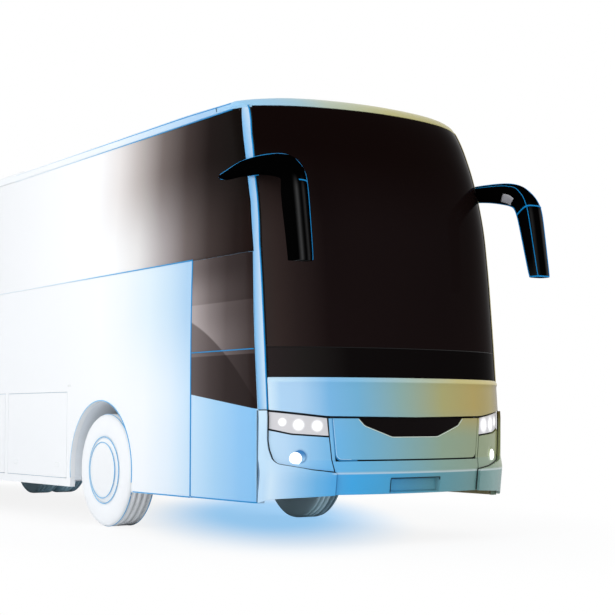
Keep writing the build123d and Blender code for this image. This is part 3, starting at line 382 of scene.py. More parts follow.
def plan(z):
    """Half width, nose radius and the centres of the three tangent arcs of the plan at height z. The flank
    leans in above 1.5 m."""
    width = half - np.maximum(0, z - lean_from) ** 2 / lean_by
    nose_r = (width - cheek_width - corner_width) / sin(nose_turn)
    corner = (corner_x + set_back(z) - post_corner_r * cos(cheek_turn), width - post_corner_r)
    cheek = (
        corner_x + set_back(z) - cheek_r * cos(cheek_turn),
        corner[1] + (post_corner_r - cheek_r) * sin(cheek_turn),
    )
    return width, nose_r, cheek[0] + (cheek_r - nose_r) * cos(nose_turn), cheek, corner


def body(s, z, out=0.0):
    """Point of the coach's skin s metres round the nose (0 in the middle, minus to the right) at height z,
    out metres off it: nose arc, cheek arc, corner arc, then the straight flank running back."""
    s, z, out = np.broadcast_arrays(np.asarray(s, float), np.asarray(z, float), out)
    width, nose_r, nose_x, cheek, corner = plan(z)
    a = np.abs(s)
    on_nose, on_cheek = a < nose_end, a < cheek_end
    turn_cheek = nose_turn + (a - nose_end) / cheek_r
    turn_corner = np.minimum(cheek_turn + (a - cheek_end) / post_corner_r, pi / 2)
    turn = np.where(on_nose, a / nose_end * nose_turn, np.where(on_cheek, turn_cheek, turn_corner))
    centre_x = np.where(on_nose, nose_x, np.where(on_cheek, cheek[0], corner[0]))
    centre_y = np.where(on_nose, 0, np.where(on_cheek, cheek[1], corner[1]))
    radius = np.where(on_nose, nose_r, np.where(on_cheek, cheek_r, post_corner_r)) + out
    x = centre_x + radius * np.cos(turn) - np.maximum(0, a - flank_start)
    y = centre_y + radius * np.sin(turn)
    return np.stack([x, np.where(s < 0, -y, y), z], -1)


def on_body(flat, out):
    """Points out metres off the skin at an array of (arc length, height) pairs."""
    return body(flat[..., 0], flat[..., 1], out)


def along(y, z):
    """Arc length round the nose at which the skin is y metres from the middle, at height z."""
    y, z = np.broadcast_arrays(np.asarray(y, float), np.asarray(z, float))
    width, nose_r, nose_x, cheek, corner = plan(z)
    a = np.abs(y)
    on_nose = np.arcsin(np.clip(a / nose_r, 0, 1)) / nose_turn * nose_end
    on_cheek = nose_end + (np.arcsin(np.clip((a - cheek[1]) / cheek_r, 0, 1)) - nose_turn) * cheek_r
    turn = np.arcsin(np.clip((a - corner[1]) / post_corner_r, 0, 1))
    on_corner = cheek_end + (turn - cheek_turn) * post_corner_r
    past_nose = np.where(a < cheek[1] + cheek_r * sin(cheek_turn), on_cheek, on_corner)
    return np.sign(y) * np.where(a < nose_r * sin(nose_turn), on_nose, past_nose)


def flank_at(x, z):
    """Arc length round the nose at which the straight flank is at x."""
    return flank_start + plan(np.asarray(z, float))[4][0] - x


def smoothed(line, times):
    """A line with each inner point moved towards the mean of its neighbours, so many times over."""
    for _ in range(times):
        line[1:-1] = line[:-2] / 4 + line[1:-1] / 2 + line[2:] / 4
    return line


def front_curve(points, n, soften=0, hand=1):
    """n points (s, z) along a line of (y, z) corners, y turned over by hand -1; each corner is kept, and
    soften rounds them over so many steps."""
    points = np.array(points, float) * [hand, 1]
    seen = np.concatenate([[0], np.cumsum(np.linalg.norm(np.diff(points, axis=0), axis=1))])
    seen = np.round(seen / seen[-1] * (n - 1)) / (n - 1)
    t = np.linspace(0, 1, n)
    line = np.stack([np.interp(t, seen, points[:, 0]), np.interp(t, seen, points[:, 1])], -1)
    line = smoothed(line, soften)
    return np.stack([along(line[:, 0], line[:, 1]), line[:, 1]], -1)


def coons(low, high, left, right):
    """Grid of (s, z) filling four border curves: low and high run along s, left and right run up z."""
    n, m = len(low), len(left)
    u, v = np.linspace(0, 1, n)[:, None, None], np.linspace(0, 1, m)[None, :, None]
    ruled = (1 - v) * low[:, None] + v * high[:, None] + (1 - u) * left[None] + u * right[None]
    corners = (1 - u) * (1 - v) * low[0] + u * (1 - v) * low[-1] + (1 - u) * v * high[0] + u * v * high[-1]
    return ruled - corners


def grid_faces(n, m):
    """Quads of an n by m grid of points; each looks along the row step crossed with the column step."""
    rows, cols = np.meshgrid(np.arange(n - 1), np.arange(m - 1), indexing="ij")
    first = rows * m + cols
    return np.stack([first, first + m, first + m + 1, first + 1], -1).reshape(-1, 4)


def plate(name, grids, material, thickness, edge=0.004):
    """Panel from outer-face grids: points that coincide are joined, thickened inwards, with its rim rounded."""
    points = np.concatenate([g.reshape(-1, 3) for g in grids])
    starts = np.cumsum([0] + [g.shape[0] * g.shape[1] for g in grids[:-1]])
    faces = np.concatenate([grid_faces(*g.shape[:2]) + start for g, start in zip(grids, starts)])
    kept, place = np.unique(np.round(points, 5), axis=0, return_inverse=True)
    piece = shaped(name, kept, place.ravel()[faces], material)
    if thickness:
        shell = piece.modifiers.new("thickness", "SOLIDIFY")
        shell.thickness = thickness
        shell.offset = -1
    if edge:
        rim = piece.modifiers.new("rounded rim", "BEVEL")
        rim.width = edge
        rim.segments = 3
        rim.limit_method = "ANGLE"
        rim.angle_limit = radians(50)
        rim.harden_normals = True
    return piece


def tube(name, points, radius, material, sides=8):
    """Round bar along a path: a circle of sides points square to the path at each point, ends closed."""
    points = np.asarray(points, float)
    ahead = np.gradient(points, axis=0)
    ahead /= np.linalg.norm(ahead, axis=1, keepdims=True)
    other = np.where(np.abs(ahead[:, 2:3]) < 0.9, [[0.0, 0.0, 1.0]], [[1.0, 0.0, 0.0]])
    across = np.cross(ahead, other)
    across /= np.linalg.norm(across, axis=1, keepdims=True)
    over = np.cross(across, ahead)
    turn = np.linspace(0, 2 * pi, sides + 1)[None, :, None]
    ring = points[:, None] + radius * (np.cos(turn) * across[:, None] + np.sin(turn) * over[:, None])
    first, last = np.repeat(points[:1, None], sides + 1, 1), np.repeat(points[-1:, None], sides + 1, 1)
    return plate(name, [np.concatenate([first, ring, last])[:, ::-1]], material, 0, 0)


panel_low = front_curve([(-1.2, 1.106), (-0.798, 1.056), (0, 1.046), (0.798, 1.056), (1.2, 1.106)], 97, 3)
panel_z = np.concatenate([np.linspace(0, 0.86, 10), [0.885, 0.905, 0.925, 0.95, 0.975, 1.0]])[None, :]
panel_high, roll, proud = 1.366, 0.034, 0.019
grid_s = panel_low[:, :1] + panel_z * 0
grid_z = panel_low[:, 1:] + panel_z * (panel_high - panel_low[:, 1:])
from_top = panel_high - grid_z
stand = 0.012 + 0.007 * np.clip(1 - np.abs(from_top - roll) / 0.020, 0, 1) ** 0.5 * (from_top < 0.054)
stand = np.where(from_top < roll, proud - 0.016 * (1 - from_top / roll) ** 2, stand)
piece = plate("upper_front_panel_skin", [body(grid_s, grid_z, stand)], paint, 0.03)
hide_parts("upper_front_panel")
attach(piece, "root")

# ---------------------------------------------------------------- headlamps
# A pale grey housing in each cheek with three glowing lamps, flush behind the line of the panels: the dipped
# and main beams inboard and the day lamp outboard. Round each lamp the housing carries a painted glowing halo.
sides = ((-1, "right"), (1, "left"))
lamp_glow = bpy.data.materials.new("lamp_glow")
lamp_glow.use_nodes = True
full_white = (1, 1, 1, 1)
feed(lamp_glow.node_tree, lamp_glow.node_tree.nodes["Principled BSDF"], {
    "Base Color": full_white,
    "Roughness": 0.25,
    "Emission Color": full_white,
    "Emission Strength": 0.9,
})
lamps = [(1.119, 1.007, 0.039), (1.010, 0.985, 0.054), (0.875, 0.977, 0.054)]
housing = finish("lamp_housing", srgb(208, 207, 208), 0.3, ior=1.3, grain=80.0, bump=0.02)
tree = housing.node_tree
# Round each lamp the housing is painted whiter and gives off light: a painted glow halo.
painted_halos = []
for hand, side in sides:
    for y, z, r in lamps:
        ends = {0: add(tree, "TexCoord").outputs["Object"], 1: body(along(hand * y, z), z).tolist()}
        gap = add(tree, "VectorMath", ends, operation="DISTANCE")
        limits = {
            "Value": gap.outputs["Value"],
            "From Min": r * 0.30,
            "From Max": r * (1.10 if side == "right" else 1.6),
            "To Min": 1,
            "To Max": 0,
        }
        painted_halos.append(add(tree, "MapRange", limits, interpolation_type="SMOOTHSTEP").outputs[0])
painted_halo_glow = painted_halos[0]
for halo in painted_halos[1:]:
    painted_halo_glow = add(tree, "Math", {0: painted_halo_glow, 1: halo}, operation="MAXIMUM").outputs[0]
laid_on(housing, mixed(tree, painted_halo_glow, srgb(218, 216, 218), full_white))
strength = add(tree, "Math", {0: painted_halo_glow, 1: 0.55}, operation="MULTIPLY").outputs[0]
feed(tree, tree.nodes["Principled BSDF"], {"Emission Color": full_white, "Emission Strength": strength})


def dome(y, z, r, height, stand, material, name):
    """Lamp glass: a shallow spherical cap of radius r whose axis is square to the skin at (y, z)."""
    s = along(y, z)
    middle = body(s, z, stand)
    outward = body(s, z, stand + 1) - middle
    side = body(s + 0.001, z, stand) - body(s - 0.001, z, stand)
    side /= np.linalg.norm(side)
    up = np.cross(outward, side)
    ring = np.linspace(0, 1, 9)[:, None, None]
    turn = np.linspace(0, 2 * pi, 33)[None, :, None]
    spoke = np.cos(turn) * side + np.sin(turn) * up
    cap = middle + r * ring * spoke + height * (1 - ring**2) * outward
    back = middle + r * (1 - ring) * spoke - 0.006 * outward
    return plate(name, [np.concatenate([cap, back])], material, 0, 0)


covers = []
for hand, side in sides:
    low = front_curve([(1.203, 0.955), (1.06, 0.917), (0.786, 0.897)][::-hand], 33, 2, hand)
    high = front_curve([(1.203, 1.089), (0.801, 1.038)][::-hand], 33, 0, hand)
    left, right = np.linspace(low[0], high[0], 13), np.linspace(low[-1], high[-1], 13)
    covers.append(on_body(coons(low, high, left, right), -0.006))
    for i, (y, z, r) in enumerate(lamps):
        lamp = dome(hand * y, z, r * 0.34, 0.006, -0.005, lamp_glow, f"headlamp_{side}_{i + 1}")
        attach(lamp, "root")
piece = plate("headlamp_housings", covers, housing, 0.02, 0.002)
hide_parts("headlights")
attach(piece, "root")

# ---------------------------------------------------------------- fog lamp panels
# A painted panel under each headlamp, with one round fog lamp that stands over a shallow dish.
dish_paint = finish("lamp_dish", srgb(92, 158, 212), 0.3, ior=1.3, grain=200.0)
tree = dish_paint.node_tree
# The dish is painted pale below the lamp and deep blue above it: painted highlight and painted shade.
painted_light = mixed(tree, share_along(tree, "Z", 0.70, 0.765), srgb(160, 206, 240), srgb(58, 128, 190))
laid_on(dish_paint, mixed(tree, share_along(tree, *over_middle), painted_light, srgb(128, 150, 128)))
dish_y, dish_z, dish_r, dish_deep = 0.996, 0.728, 0.062, 0.016
panels = []
for hand, side in sides:
    outer = [(1.145, 0.676), (1.170, 0.706), (1.194, 0.790), (1.203, 0.860), (1.203, 0.940)]
    inner = [(0.755, 0.612), (0.771, 0.752), (0.786, 0.884)]
    low = front_curve([(1.145, 0.676), (0.93, 0.633), (0.755, 0.612)][::-hand], 41, 2, hand)
    high = front_curve([(1.203, 0.940), (1.06, 0.904), (0.786, 0.884)][::-hand], 41, 2, hand)
    left, right = [front_curve(line, 29, 3, hand) for line in (outer, inner)][::-hand]
    grid = coons(low, high, left, right)
    away = np.linalg.norm(on_body(grid, 0.002) - body(along(hand * dish_y, dish_z), dish_z), axis=-1)
    panels.append(on_body(grid, 0.002 - np.clip(1 - (away / dish_r) ** 2, 0, 1) ** 0.5 * dish_deep))
    if side == "right":
        shade = dome(hand * 1.000, 0.733, 0.050, 0.002, 0.003, dish_paint, "fog_lamp_dish_right")
        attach(shade, "root")
    lamp = dome(hand * 1.028, 0.718, 0.050, 0.014, 0.004, lamp_glow, f"fog_lamp_{side}")
    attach(lamp, "root")
piece = plate("fog_lamp_panels", panels, paint, 0.028)
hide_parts("fog_panels")
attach(piece, "root")

# ---------------------------------------------------------------- bumper corners
# One moulding a side, from the door round the corner and under the crease to the middle bumper.
inner_line = [
    (1.209, 1.098), (1.209, 0.86), (1.201, 0.788), (1.176, 0.70),
    (1.148, 0.669), (0.93, 0.6255), (0.741, 0.603),
]
skirt_z = [0.364, 0.394, 0.403, 0.425]
panels = []
for hand, side in sides:
    corner_back = hand * flank_at(corner_x - 0.05, 0.4)
    inner = front_curve(inner_line, 73, 3, hand)
    skirt = [
        np.linspace(corner_back, along(hand * 0.741, 0.425), 37),
        np.interp(np.linspace(0, 1, 37), [0, 0.12, 0.3, 1], skirt_z),
    ]
    back_edge = np.stack([np.full(37, corner_back), np.linspace(1.098, 0.364, 37)], -1)
    outer = np.concatenate([back_edge, np.stack(skirt, -1)[1:]])
    start, end = np.linspace(outer[0], inner[0], 15), np.linspace(outer[-1], inner[-1], 15)
    panels.append(on_body(coons(outer, inner, start, end), 0.001)[::hand])
piece = plate("bumper_corner_mouldings", panels, paint, 0.03)
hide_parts("bumper_corners")
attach(piece, "root")

# Beads of black sealant in the joints round the moulding; the one at the entrance door is on the leaf's edge.
sealant = finish("sealant", srgb(10, 9, 9), 0.5, ior=1.3, grain=200.0)
lamp_panel_line = [
    (1.206, 1.085), (1.206, 0.86), (1.1975, 0.789), (1.173, 0.702),
    (1.1465, 0.6725), (0.93, 0.6292), (0.757, 0.6085),
]
for hand, side in sides:
    door_x, rides_on = (5.5585, "front_door") if side == "right" else (5.5625, "root")
    z = np.linspace(0.37, 1.10, 40)
    post = hand * np.linspace(flank_at(corner_x - 0.05, 1.1), along(1.213, 1.1), 20)
    bumper_end = front_curve([(0.738, 0.603), (0.738, 0.43)], 20, 0, hand)
    for name, points, radius, carrier in (
        ("door_joint", np.stack([0 * z + door_x, 0 * z + hand * 1.2695, z], -1), 0.0035, rides_on),
        ("post_joint", body(post, 1.1025, 0.004), 0.005, "root"),
        ("lamp_panel_joint", on_body(front_curve(lamp_panel_line, 121, 3, hand), 0.003), 0.005, "root"),
        ("bumper_joint", on_body(bumper_end, 0.002), 0.005, "root"),
    ):
        piece = tube(f"{name}_{side}", points, radius, sealant)
        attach(piece, carrier)

# ---------------------------------------------------------------- middle bumper
# One moulding: a face under the crease, a shelf under the service flap and a slim ear up each side of it.
# The face has a flat-floored recess for the number plate, which is blank.
tray_y, tray_x = 0.255, corner_x + nose_bow - 0.048
tray_low, tray_high = 0.435, 0.552
edge_y = 0.735
crease_z, shelf_top = 0.602, 0.692


def bumper_grid(y0, y1, z_list, n):
    """Outer-face grid between two widths, the same at each height, over the listed heights."""
    y, z = np.meshgrid(np.linspace(y0, y1, n), z_list, indexing="ij")
    return body(along(y, z), z, 0.001)


low_z, mid_z = np.array([0.425, 0.430, tray_low]), np.linspace(tray_low, tray_high, 8)
high_z = np.array([tray_high, 0.565, 0.580, 0.592, 0.598, crease_z])
all_z = np.concatenate([low_z[:-1], mid_z[:-1], high_z])
grids = [bumper_grid(-edge_y, -tray_y, all_z, 29), bumper_grid(tray_y, edge_y, all_z, 29)]
grids += [bumper_grid(-tray_y, tray_y, low_z, 31), bumper_grid(-tray_y, tray_y, high_z, 31)]
t = np.linspace(-1, 1, 87)[:, None]
shelf_z = np.array([crease_z, 0.606, 0.614, 0.630, 0.650, 0.670, 0.682, shelf_top])[None, :]
shelf_y = t * np.interp(shelf_z, [crease_z, 0.610, shelf_top], [edge_y, 0.744, 0.755])
grids.append(body(along(shelf_y, shelf_z), shelf_z + 0 * t, 0.001))
floor_y, floor_z = np.meshgrid(np.linspace(-tray_y, tray_y, 31), mid_z, indexing="ij")
tray_middle = 0.4935
floor = [np.full_like(floor_y, tray_x), floor_y * 0.985, tray_middle + (floor_z - tray_middle) * 0.96]
floor = np.stack(floor, -1)
opening = bumper_grid(-tray_y, tray_y, mid_z, 31)
grids += [
    floor,
    np.stack([opening[0], floor[0]], 0),
    np.stack([floor[-1], opening[-1]], 0),
    np.stack([opening[:, 0], floor[:, 0]], 1),
    np.stack([floor[:, -1], opening[:, -1]], 1),
]
for hand, side in sides:
    ear_z = np.linspace(shelf_top, 1.037, 21)[None, :]
    inner = np.interp(ear_z, [shelf_top, 1.037], [0.731, 0.762])
    outer = np.interp(ear_z, [shelf_top, 0.752, 0.886, 1.037], [0.755, 0.762, 0.777, 0.790])
    share = np.linspace(0, 1, 4)[:, None]
    ear_y = inner + (outer - inner) * share
    grids.append(body(along(hand * ear_y, ear_z), ear_z, 0.001)[::hand])
piece = plate("middle_bumper", grids, paint, 0.006, 0)
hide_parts("bumper_centre")
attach(piece, "root")
hood = front_curve([(-tray_y, 0.436), (-tray_y, tray_high), (tray_y, tray_high), (tray_y, 0.53)], 61)
piece = tube("plate_recess_hood", on_body(hood, -0.001), 0.004, sealant)
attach(piece, "root")

# ---------------------------------------------------------------- service flap
# Painted flap between the lamps that lifts on a hinge under the upper panel. Its lower corners are rounded,
# and its upper edge is cut to the smile of the gloss black plate that rides on it.
smile_y = [0.238, 0.488, 0.541, 0.757]
smile_z = [0.886, 0.977, 1.036, 1.037]
smile_foot, smile_end = smile_y[0], smile_y[-1]
t = np.concatenate([-np.array(smile_y[::-1]), smile_y]) / smile_end
near_end = np.linspace(0.955, 1, 12)
t = np.unique(np.round(np.concatenate([np.linspace(-1, 1, 121), t, near_end, -near_end]), 4))
smile = np.interp(np.abs(t) * smile_end, [0] + smile_y, smile_z[:1] + smile_z)
at_foot = np.abs(np.abs(t[1:-1]) * smile_end - smile_foot) < 0.03
smile[1:-1] = np.where(at_foot, (smile[:-2] + smile[1:-1] + smile[2:]) / 3, smile[1:-1])
flap_foot, flap_half, round_r = 0.704, 0.730, 0.045
into = np.clip(np.abs(t) * flap_half - (flap_half - round_r), 0, round_r)
low_line = flap_foot + round_r - np.sqrt(round_r**2 - into**2)
v = np.linspace(0, 1, 21)[None, :]
flap_z = low_line[:, None] + v * (smile - low_line)[:, None]
flap_y = t[:, None] * np.interp(flap_z, [flap_foot, 1.037], [0.725, 0.756])
piece = plate("service_flap_skin", [body(along(flap_y, flap_z), flap_z, 0.003)], paint, 0.024, 0.005)
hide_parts("front_service_flap")
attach(piece, "front_service_flap")

# A pale bead along the flap's edge, a painted highlight.
edge_highlight = finish("flap_edge_highlight", srgb(176, 216, 242), 0.3, ior=1.4, grain=200.0)
gap_blue = finish("flap_gap_blue", srgb(44, 136, 196), 0.4, ior=1.3, grain=200.0)
edge = front_curve([(-0.753, 1.028), (-0.724, 0.752), (-0.716, 0.726), (-0.690, 0.709), (-0.60, 0.707)], 70, 2)
piece = tube("flap_edge", on_body(edge, 0.0015), 0.0028, edge_highlight)
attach(piece, "front_service_flap")
gap = front_curve([(-0.759, 1.033), (-0.7295, 0.745), (-0.718, 0.712), (-0.690, 0.698), (-0.55, 0.697)], 90, 3)
piece = tube("flap_gap", on_body(gap, -0.003), 0.0045, gap_blue)
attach(piece, "root")

# Nose plate: a gloss black plate in the smile, blank, with a pale bead under it that is a painted highlight.
moulded = dict(grain=200.0, spread=0.03, bump=0.01)
gloss_black = finish("gloss_black", srgb(18, 14, 14), 0.12, ior=1.2, gloss=0.1, **moulded)
plate_half, plate_top = 0.538, 1.036
t = np.linspace(-1, 1, 81)
low_line = np.interp(np.abs(t) * plate_half, [0] + smile_y, [0.889, 0.889, 0.980, 1.035, 1.035])
v = np.linspace(0, 1, 13)[None, :]
plate_z = low_line[:, None] + v * (plate_top - low_line)[:, None]
plate_y = t[:, None] * plate_half
piece = plate("nose_plate_skin", [body(along(plate_y, plate_z), plate_z, -0.002)], gloss_black, 0.012, 0.002)
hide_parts("nose_plate")
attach(piece, "front_service_flap")
# Pale bead along the plate's lower edge: a painted highlight.
lip_highlight_paint = finish("lip_highlight", srgb(214, 226, 214), 0.3, ior=1.4, grain=200.0)
lip = [(-0.541, 1.030), (-0.488, 0.975), (-0.238, 0.883), (0.238, 0.883), (0.488, 0.975), (0.541, 1.030)]
piece = tube("nose_plate_highlight_bead", on_body(front_curve(lip, 121, 3), 0.003), 0.0035, lip_highlight_paint)
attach(piece, "front_service_flap")

# ---------------------------------------------------------------- windscreen
# One tall bonded pane, tinted so dark that the cabin doesn't show, wrapping round the cheeks and leaning
# back over the top; a gloss black band closes it to the painted panel. Both are painted lighter towards the
# right edge, a painted reflection, and the pane is darker towards its top.
edge_z = [1.370, 2.45, 3.05, 3.40, 3.64]
edge_y = [1.200, 1.200, 1.182, 1.150, 1.112]


def pane(z_list, n, out, inset=0.004):
    """Grid of the glass from one side edge to the other over the listed heights, out metres off the skin."""
    z = np.asarray(z_list, float)[None, :]
    s = np.linspace(-1, 1, n)[:, None] * along(np.interp(z, edge_z, edge_y) - inset, z)
    return body(s, z, out)


polished = dict(ior=1.2, grain=8.0, spread=0.02, bump=0.0)
screen_span = ("Y", -1.2, 1.2)
screen_glass = finish("screen_glass", srgb(22, 16, 16), 0.08, gloss=0.01, **polished)
tree = screen_glass.node_tree
# A painted reflection lightens the glass towards its right edge.
screen_reflection = ramp_along(
    tree, *screen_span, (-1.2, 52, 44, 42), (-1.12, 50, 40, 38), (-0.98, 40, 31, 30), (-0.75, 26, 18, 18),
    (0.4, 22, 15, 15), (1.2, 24, 17, 16),
)
laid_on(screen_glass, mixed(tree, share_along(tree, "Z", 3.35, 2.5), srgb(16, 8, 7), screen_reflection))
screen = pane(np.linspace(1.612, 3.655, 61), 97, 0.001)
piece = plate("windscreen_pane", [screen], screen_glass, 0.010, 0.003)
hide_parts("windscreen")
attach(piece, "root")
band_black = finish("band_black", srgb(12, 9, 9), 0.10, gloss=0.01, **polished)
# The band too is painted lighter towards its right end, a painted reflection.
laid_on(band_black, ramp_along(
    band_black.node_tree, *screen_span, (-1.18, 42, 36, 36), (-0.95, 33, 30, 29), (-0.6, 16, 13, 13),
    (1.2, 12, 9, 9),
))
band = pane(np.linspace(1.372, 1.6065, 9), 97, 0.001)
piece = plate("windscreen_band_pane", [band], band_black, 0.010, 0.003)
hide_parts("windscreen_band")
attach(piece, "root")
joint_z = 1.6093
joint_s = np.linspace(-1, 1, 121) * along(1.196, joint_z)
piece = tube("windscreen_joint", body(joint_s, joint_z, -0.001), 0.0035, sealant)
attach(piece, "root")

# ---------------------------------------------------------------- corner posts
# A slim painted cover from the crease of the bumper corner up to the roof at each side of the glass, bonded
# on the post; along its front edge run a blue line on the right, on the left a sand bead that stands for a
# painted highlight, and then a black seal.


def repaint(material, *nodes):
    """Gives nodes carried over from the frame a material in place of their own."""
    for node in nodes:
        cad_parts[node].data.materials.clear()
        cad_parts[node].data.materials.append(material)


post_back_z = [0.335, 1.10, 1.70, 2.40, 2.80, 3.20, 3.64, 3.70]
post_back_x = [-0.055, -0.060, -0.112, -0.160, -0.222, -0.330, -0.474, -0.490]


def post_back(z):
    """Where the rear edge of the corner post is at height z."""
    return corner_x + np.interp(z, post_back_z, post_back_x)


line_blue = finish("line_blue", srgb(30, 150, 214), 0.4, ior=1.3, gloss=0.2, grain=300.0)
laid_on(line_blue, ramp_along(
    line_blue.node_tree, "X", -6.2, 6.4, (-6.0, 222, 234, 244), (1.0, 236, 244, 250), (2.0, 205, 229, 246),
    (2.7, 135, 198, 238), (3.4, 70, 168, 226), (4.4, 26, 146, 212), (6.3, 14, 138, 206),
))
post_z = np.linspace(1.106, 3.662, 66)
post_front = along(np.interp(post_z, edge_z, edge_y) + 0.004, post_z)
post_rear = flank_at(post_back(post_z) + 0.004, post_z)
share = np.linspace(0, 1, 13)[:, None]
for hand, side in sides:
    strip = body(hand * (post_front + (post_rear - post_front) * share), post_z, 0.003)[::hand]
    piece = plate(f"post_cover_{side}", [strip], post_paint, 0.006, 0.0025)
    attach(piece, "root")
    piece = tube(f"screen_seal_{side}", body(hand * (post_front - 0.003), post_z, 0.0005), 0.005, sealant)
    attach(piece, "root")
    # On the left the bead is in the post's sand paint, a painted highlight along the edge.
    behind, trim = (0.007, line_blue) if side == "right" else (0.02, post_paint)
    piece = tube(f"post_line_{side}", body(hand * (post_front + behind), post_z, 0.003), 0.0062, trim)
    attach(piece, "root")

# ---------------------------------------------------------------- side glass
# Flush bonded panes from the sill to the roof, dark at the front. On the right a broad painted glare lies over
# them amidships, pale and rougher, and fades back to dark towards the rear; the panes on the left are plain.
glass_span = ("X", -6.0, 5.6)
side_glass = finish("side_glass", srgb(22, 18, 16), 0.07, gloss=0.05, **polished)
tree = side_glass.node_tree
# Painted glare on the right-hand panes: pale amidships, dark at both ends.
glare_rear = ((-5.9, 30, 26, 26), (-4.6, 30, 26, 26), (-2.6, 120, 116, 116), (-0.8, 240, 242, 244))
glare_top = ramp_along(
    tree, *glass_span, *glare_rear, (2.2, 252, 253, 254), (2.6, 248, 247, 247), (3.0, 230, 225, 223),
    (3.4, 186, 178, 175), (3.85, 115, 105, 102), (4.3, 60, 50, 48), (4.7, 24, 15, 13), (5.3, 10, 7, 5),
)
glare_low = ramp_along(
    tree, *glass_span, *glare_rear, (2.3, 253, 254, 255), (2.95, 252, 252, 252), (3.45, 232, 230, 229),
    (3.9, 176, 169, 169), (4.35, 110, 100, 98), (4.75, 62, 52, 50), (5.2, 32, 22, 20), (5.5, 28, 18, 16),
)
painted_glare = mixed(tree, share_along(tree, "Z", 2.46, 3.3), glare_low, glare_top)
plain = ramp_along(tree, *glass_span, (-5.9, 30, 26, 26), (5.3, 22, 18, 16))
laid_on(side_glass, mixed(tree, share_along(tree, *over_middle), painted_glare, plain))
glare_share = ramp_along(
    tree, *glass_span, (-4.5, 0, 0, 0), (-0.6, 255, 255, 255), (2.4, 255, 255, 255), (4.6, 0, 0, 0),
)
rough = add(tree, "MapRange", {"Value": glare_share, "To Min": 0.07, "To Max": 0.35}).outputs[0]
feed(tree, tree.nodes["Principled BSDF"], {"Roughness": rough})
glass_rear_x, glass_foot = -5.985, 2.405
panes = []
share = np.linspace(0, 1, 161)[:, None]
for hand, side in sides:
    glass_z = glass_foot + np.linspace(0, 1, 25)[None, :] * 1.232 + 0 * share
    x = glass_rear_x + share * (post_back(glass_z) - 0.004 - glass_rear_x)
    panes.append(body(hand * flank_at(x, glass_z), glass_z, 0.0015)[::-hand])
piece = plate("side_panes", panes, side_glass, 0.008, 0.002)
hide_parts("side_windows")
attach(piece, "root")
repaint(side_glass, "driver_window")

# ---------------------------------------------------------------- entrance door
# The leaf's upper half is one flush dark pane down to a line that slopes to the front. A painted reflection of
# the street crosses it from the rear down to the front, lit above a sloping line and in painted shade below it,
# and a thin blue line runs level over it.
door_glass = finish("door_glass", srgb(30, 22, 20), 0.07, gloss=0.15, **polished)
tree = door_glass.node_tree
from_rear = add(tree, "Math", {0: coordinate(tree, "X"), 1: 4.49}, operation="SUBTRACT").outputs[0]
slope = add(tree, "Math", {0: from_rear, 1: 0.291, 2: 0.344}, operation="MULTIPLY_ADD").outputs[0]
sweep = {0: from_rear, 1: slope, 2: coordinate(tree, "Z")}
sweep = add(tree, "Math", sweep, operation="MULTIPLY_ADD").outputs[0]
lit = add(tree, "MapRange", {"Value": sweep, "From Min": 1.852, "From Max": 1.868}).outputs[0]


def reflected_grey(*levels):
    """Warm grey of the painted reflection, falling from the door's rear edge to its front edge through four
    levels, 0 to 255.
    """
    stops = [(x, level - 11, level - 21, level - 22) for x, level in zip((4.54, 4.80, 5.08, 5.45), levels)]
    return ramp_along(tree, "X", 4.4, 5.6, *stops)


street = mixed(tree, share_along(tree, "Z", 2.05, 2.33), reflected_grey(163, 118, 82, 57), reflected_grey(126, 88, 60, 47))
kerb = mixed(tree, share_along(tree, "Z", 1.65, 1.95), reflected_grey(192, 158, 116, 80), reflected_grey(183, 140, 99, 71))
kerb = mixed(tree, lit, reflected_grey(130, 105, 80, 60), kerb)
road = mixed(tree, lit, reflected_grey(104, 76, 54, 45), reflected_grey(120, 96, 76, 52))
lower = mixed(tree, share_along(tree, "Z", 1.554, 1.564), road, kerb)
laid_on(door_glass, mixed(tree, share_along(tree, "Z", 1.998, 2.008), lower, street))
door_rear, door_gap, door_glass_top = corner_x - 1.126, 0.006, 2.392
share = np.linspace(0, 1, 33)[:, None]
v = np.linspace(0, 1, 25)[None, :]
low_edge = 1.238 - 0.126 * share
door_z = low_edge + v * (door_glass_top - low_edge)
door_x = door_rear + door_gap + share * (post_back(door_z) - door_gap - door_rear - door_gap)
piece = plate("entrance_door_pane", [body(-flank_at(door_x, door_z), door_z, 0.002)], door_glass, 0.008, 0.002)
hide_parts("front_door_glass")
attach(piece, "front_door")
head_z, line_z = 2.3985, 1.597
x = np.linspace(door_rear, corner_x - 0.165, 30)
piece = tube("door_head_seal", body(-flank_at(x, head_z), head_z, -0.001), 0.0062, side_glass)
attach(piece, "root")
x = np.linspace(door_rear + 0.01, corner_x - 0.115, 30)
piece = tube("door_glass_line", body(-flank_at(x, line_z), line_z, 0.002), 0.0045, line_blue)
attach(piece, "front_door")

# ---------------------------------------------------------------- mirrors
# Two swan-neck arms from the front roof corners, each a hollow black moulding that sweeps out over the nose
# and turns down into a deep mirror head, with a thin blue pinstripe along its outer ridge.
mirror_black = finish("mirror_black", srgb(2, 2, 2), 0.25, ior=1.3, gloss=0.0, **moulded)
tree = mirror_black.node_tree
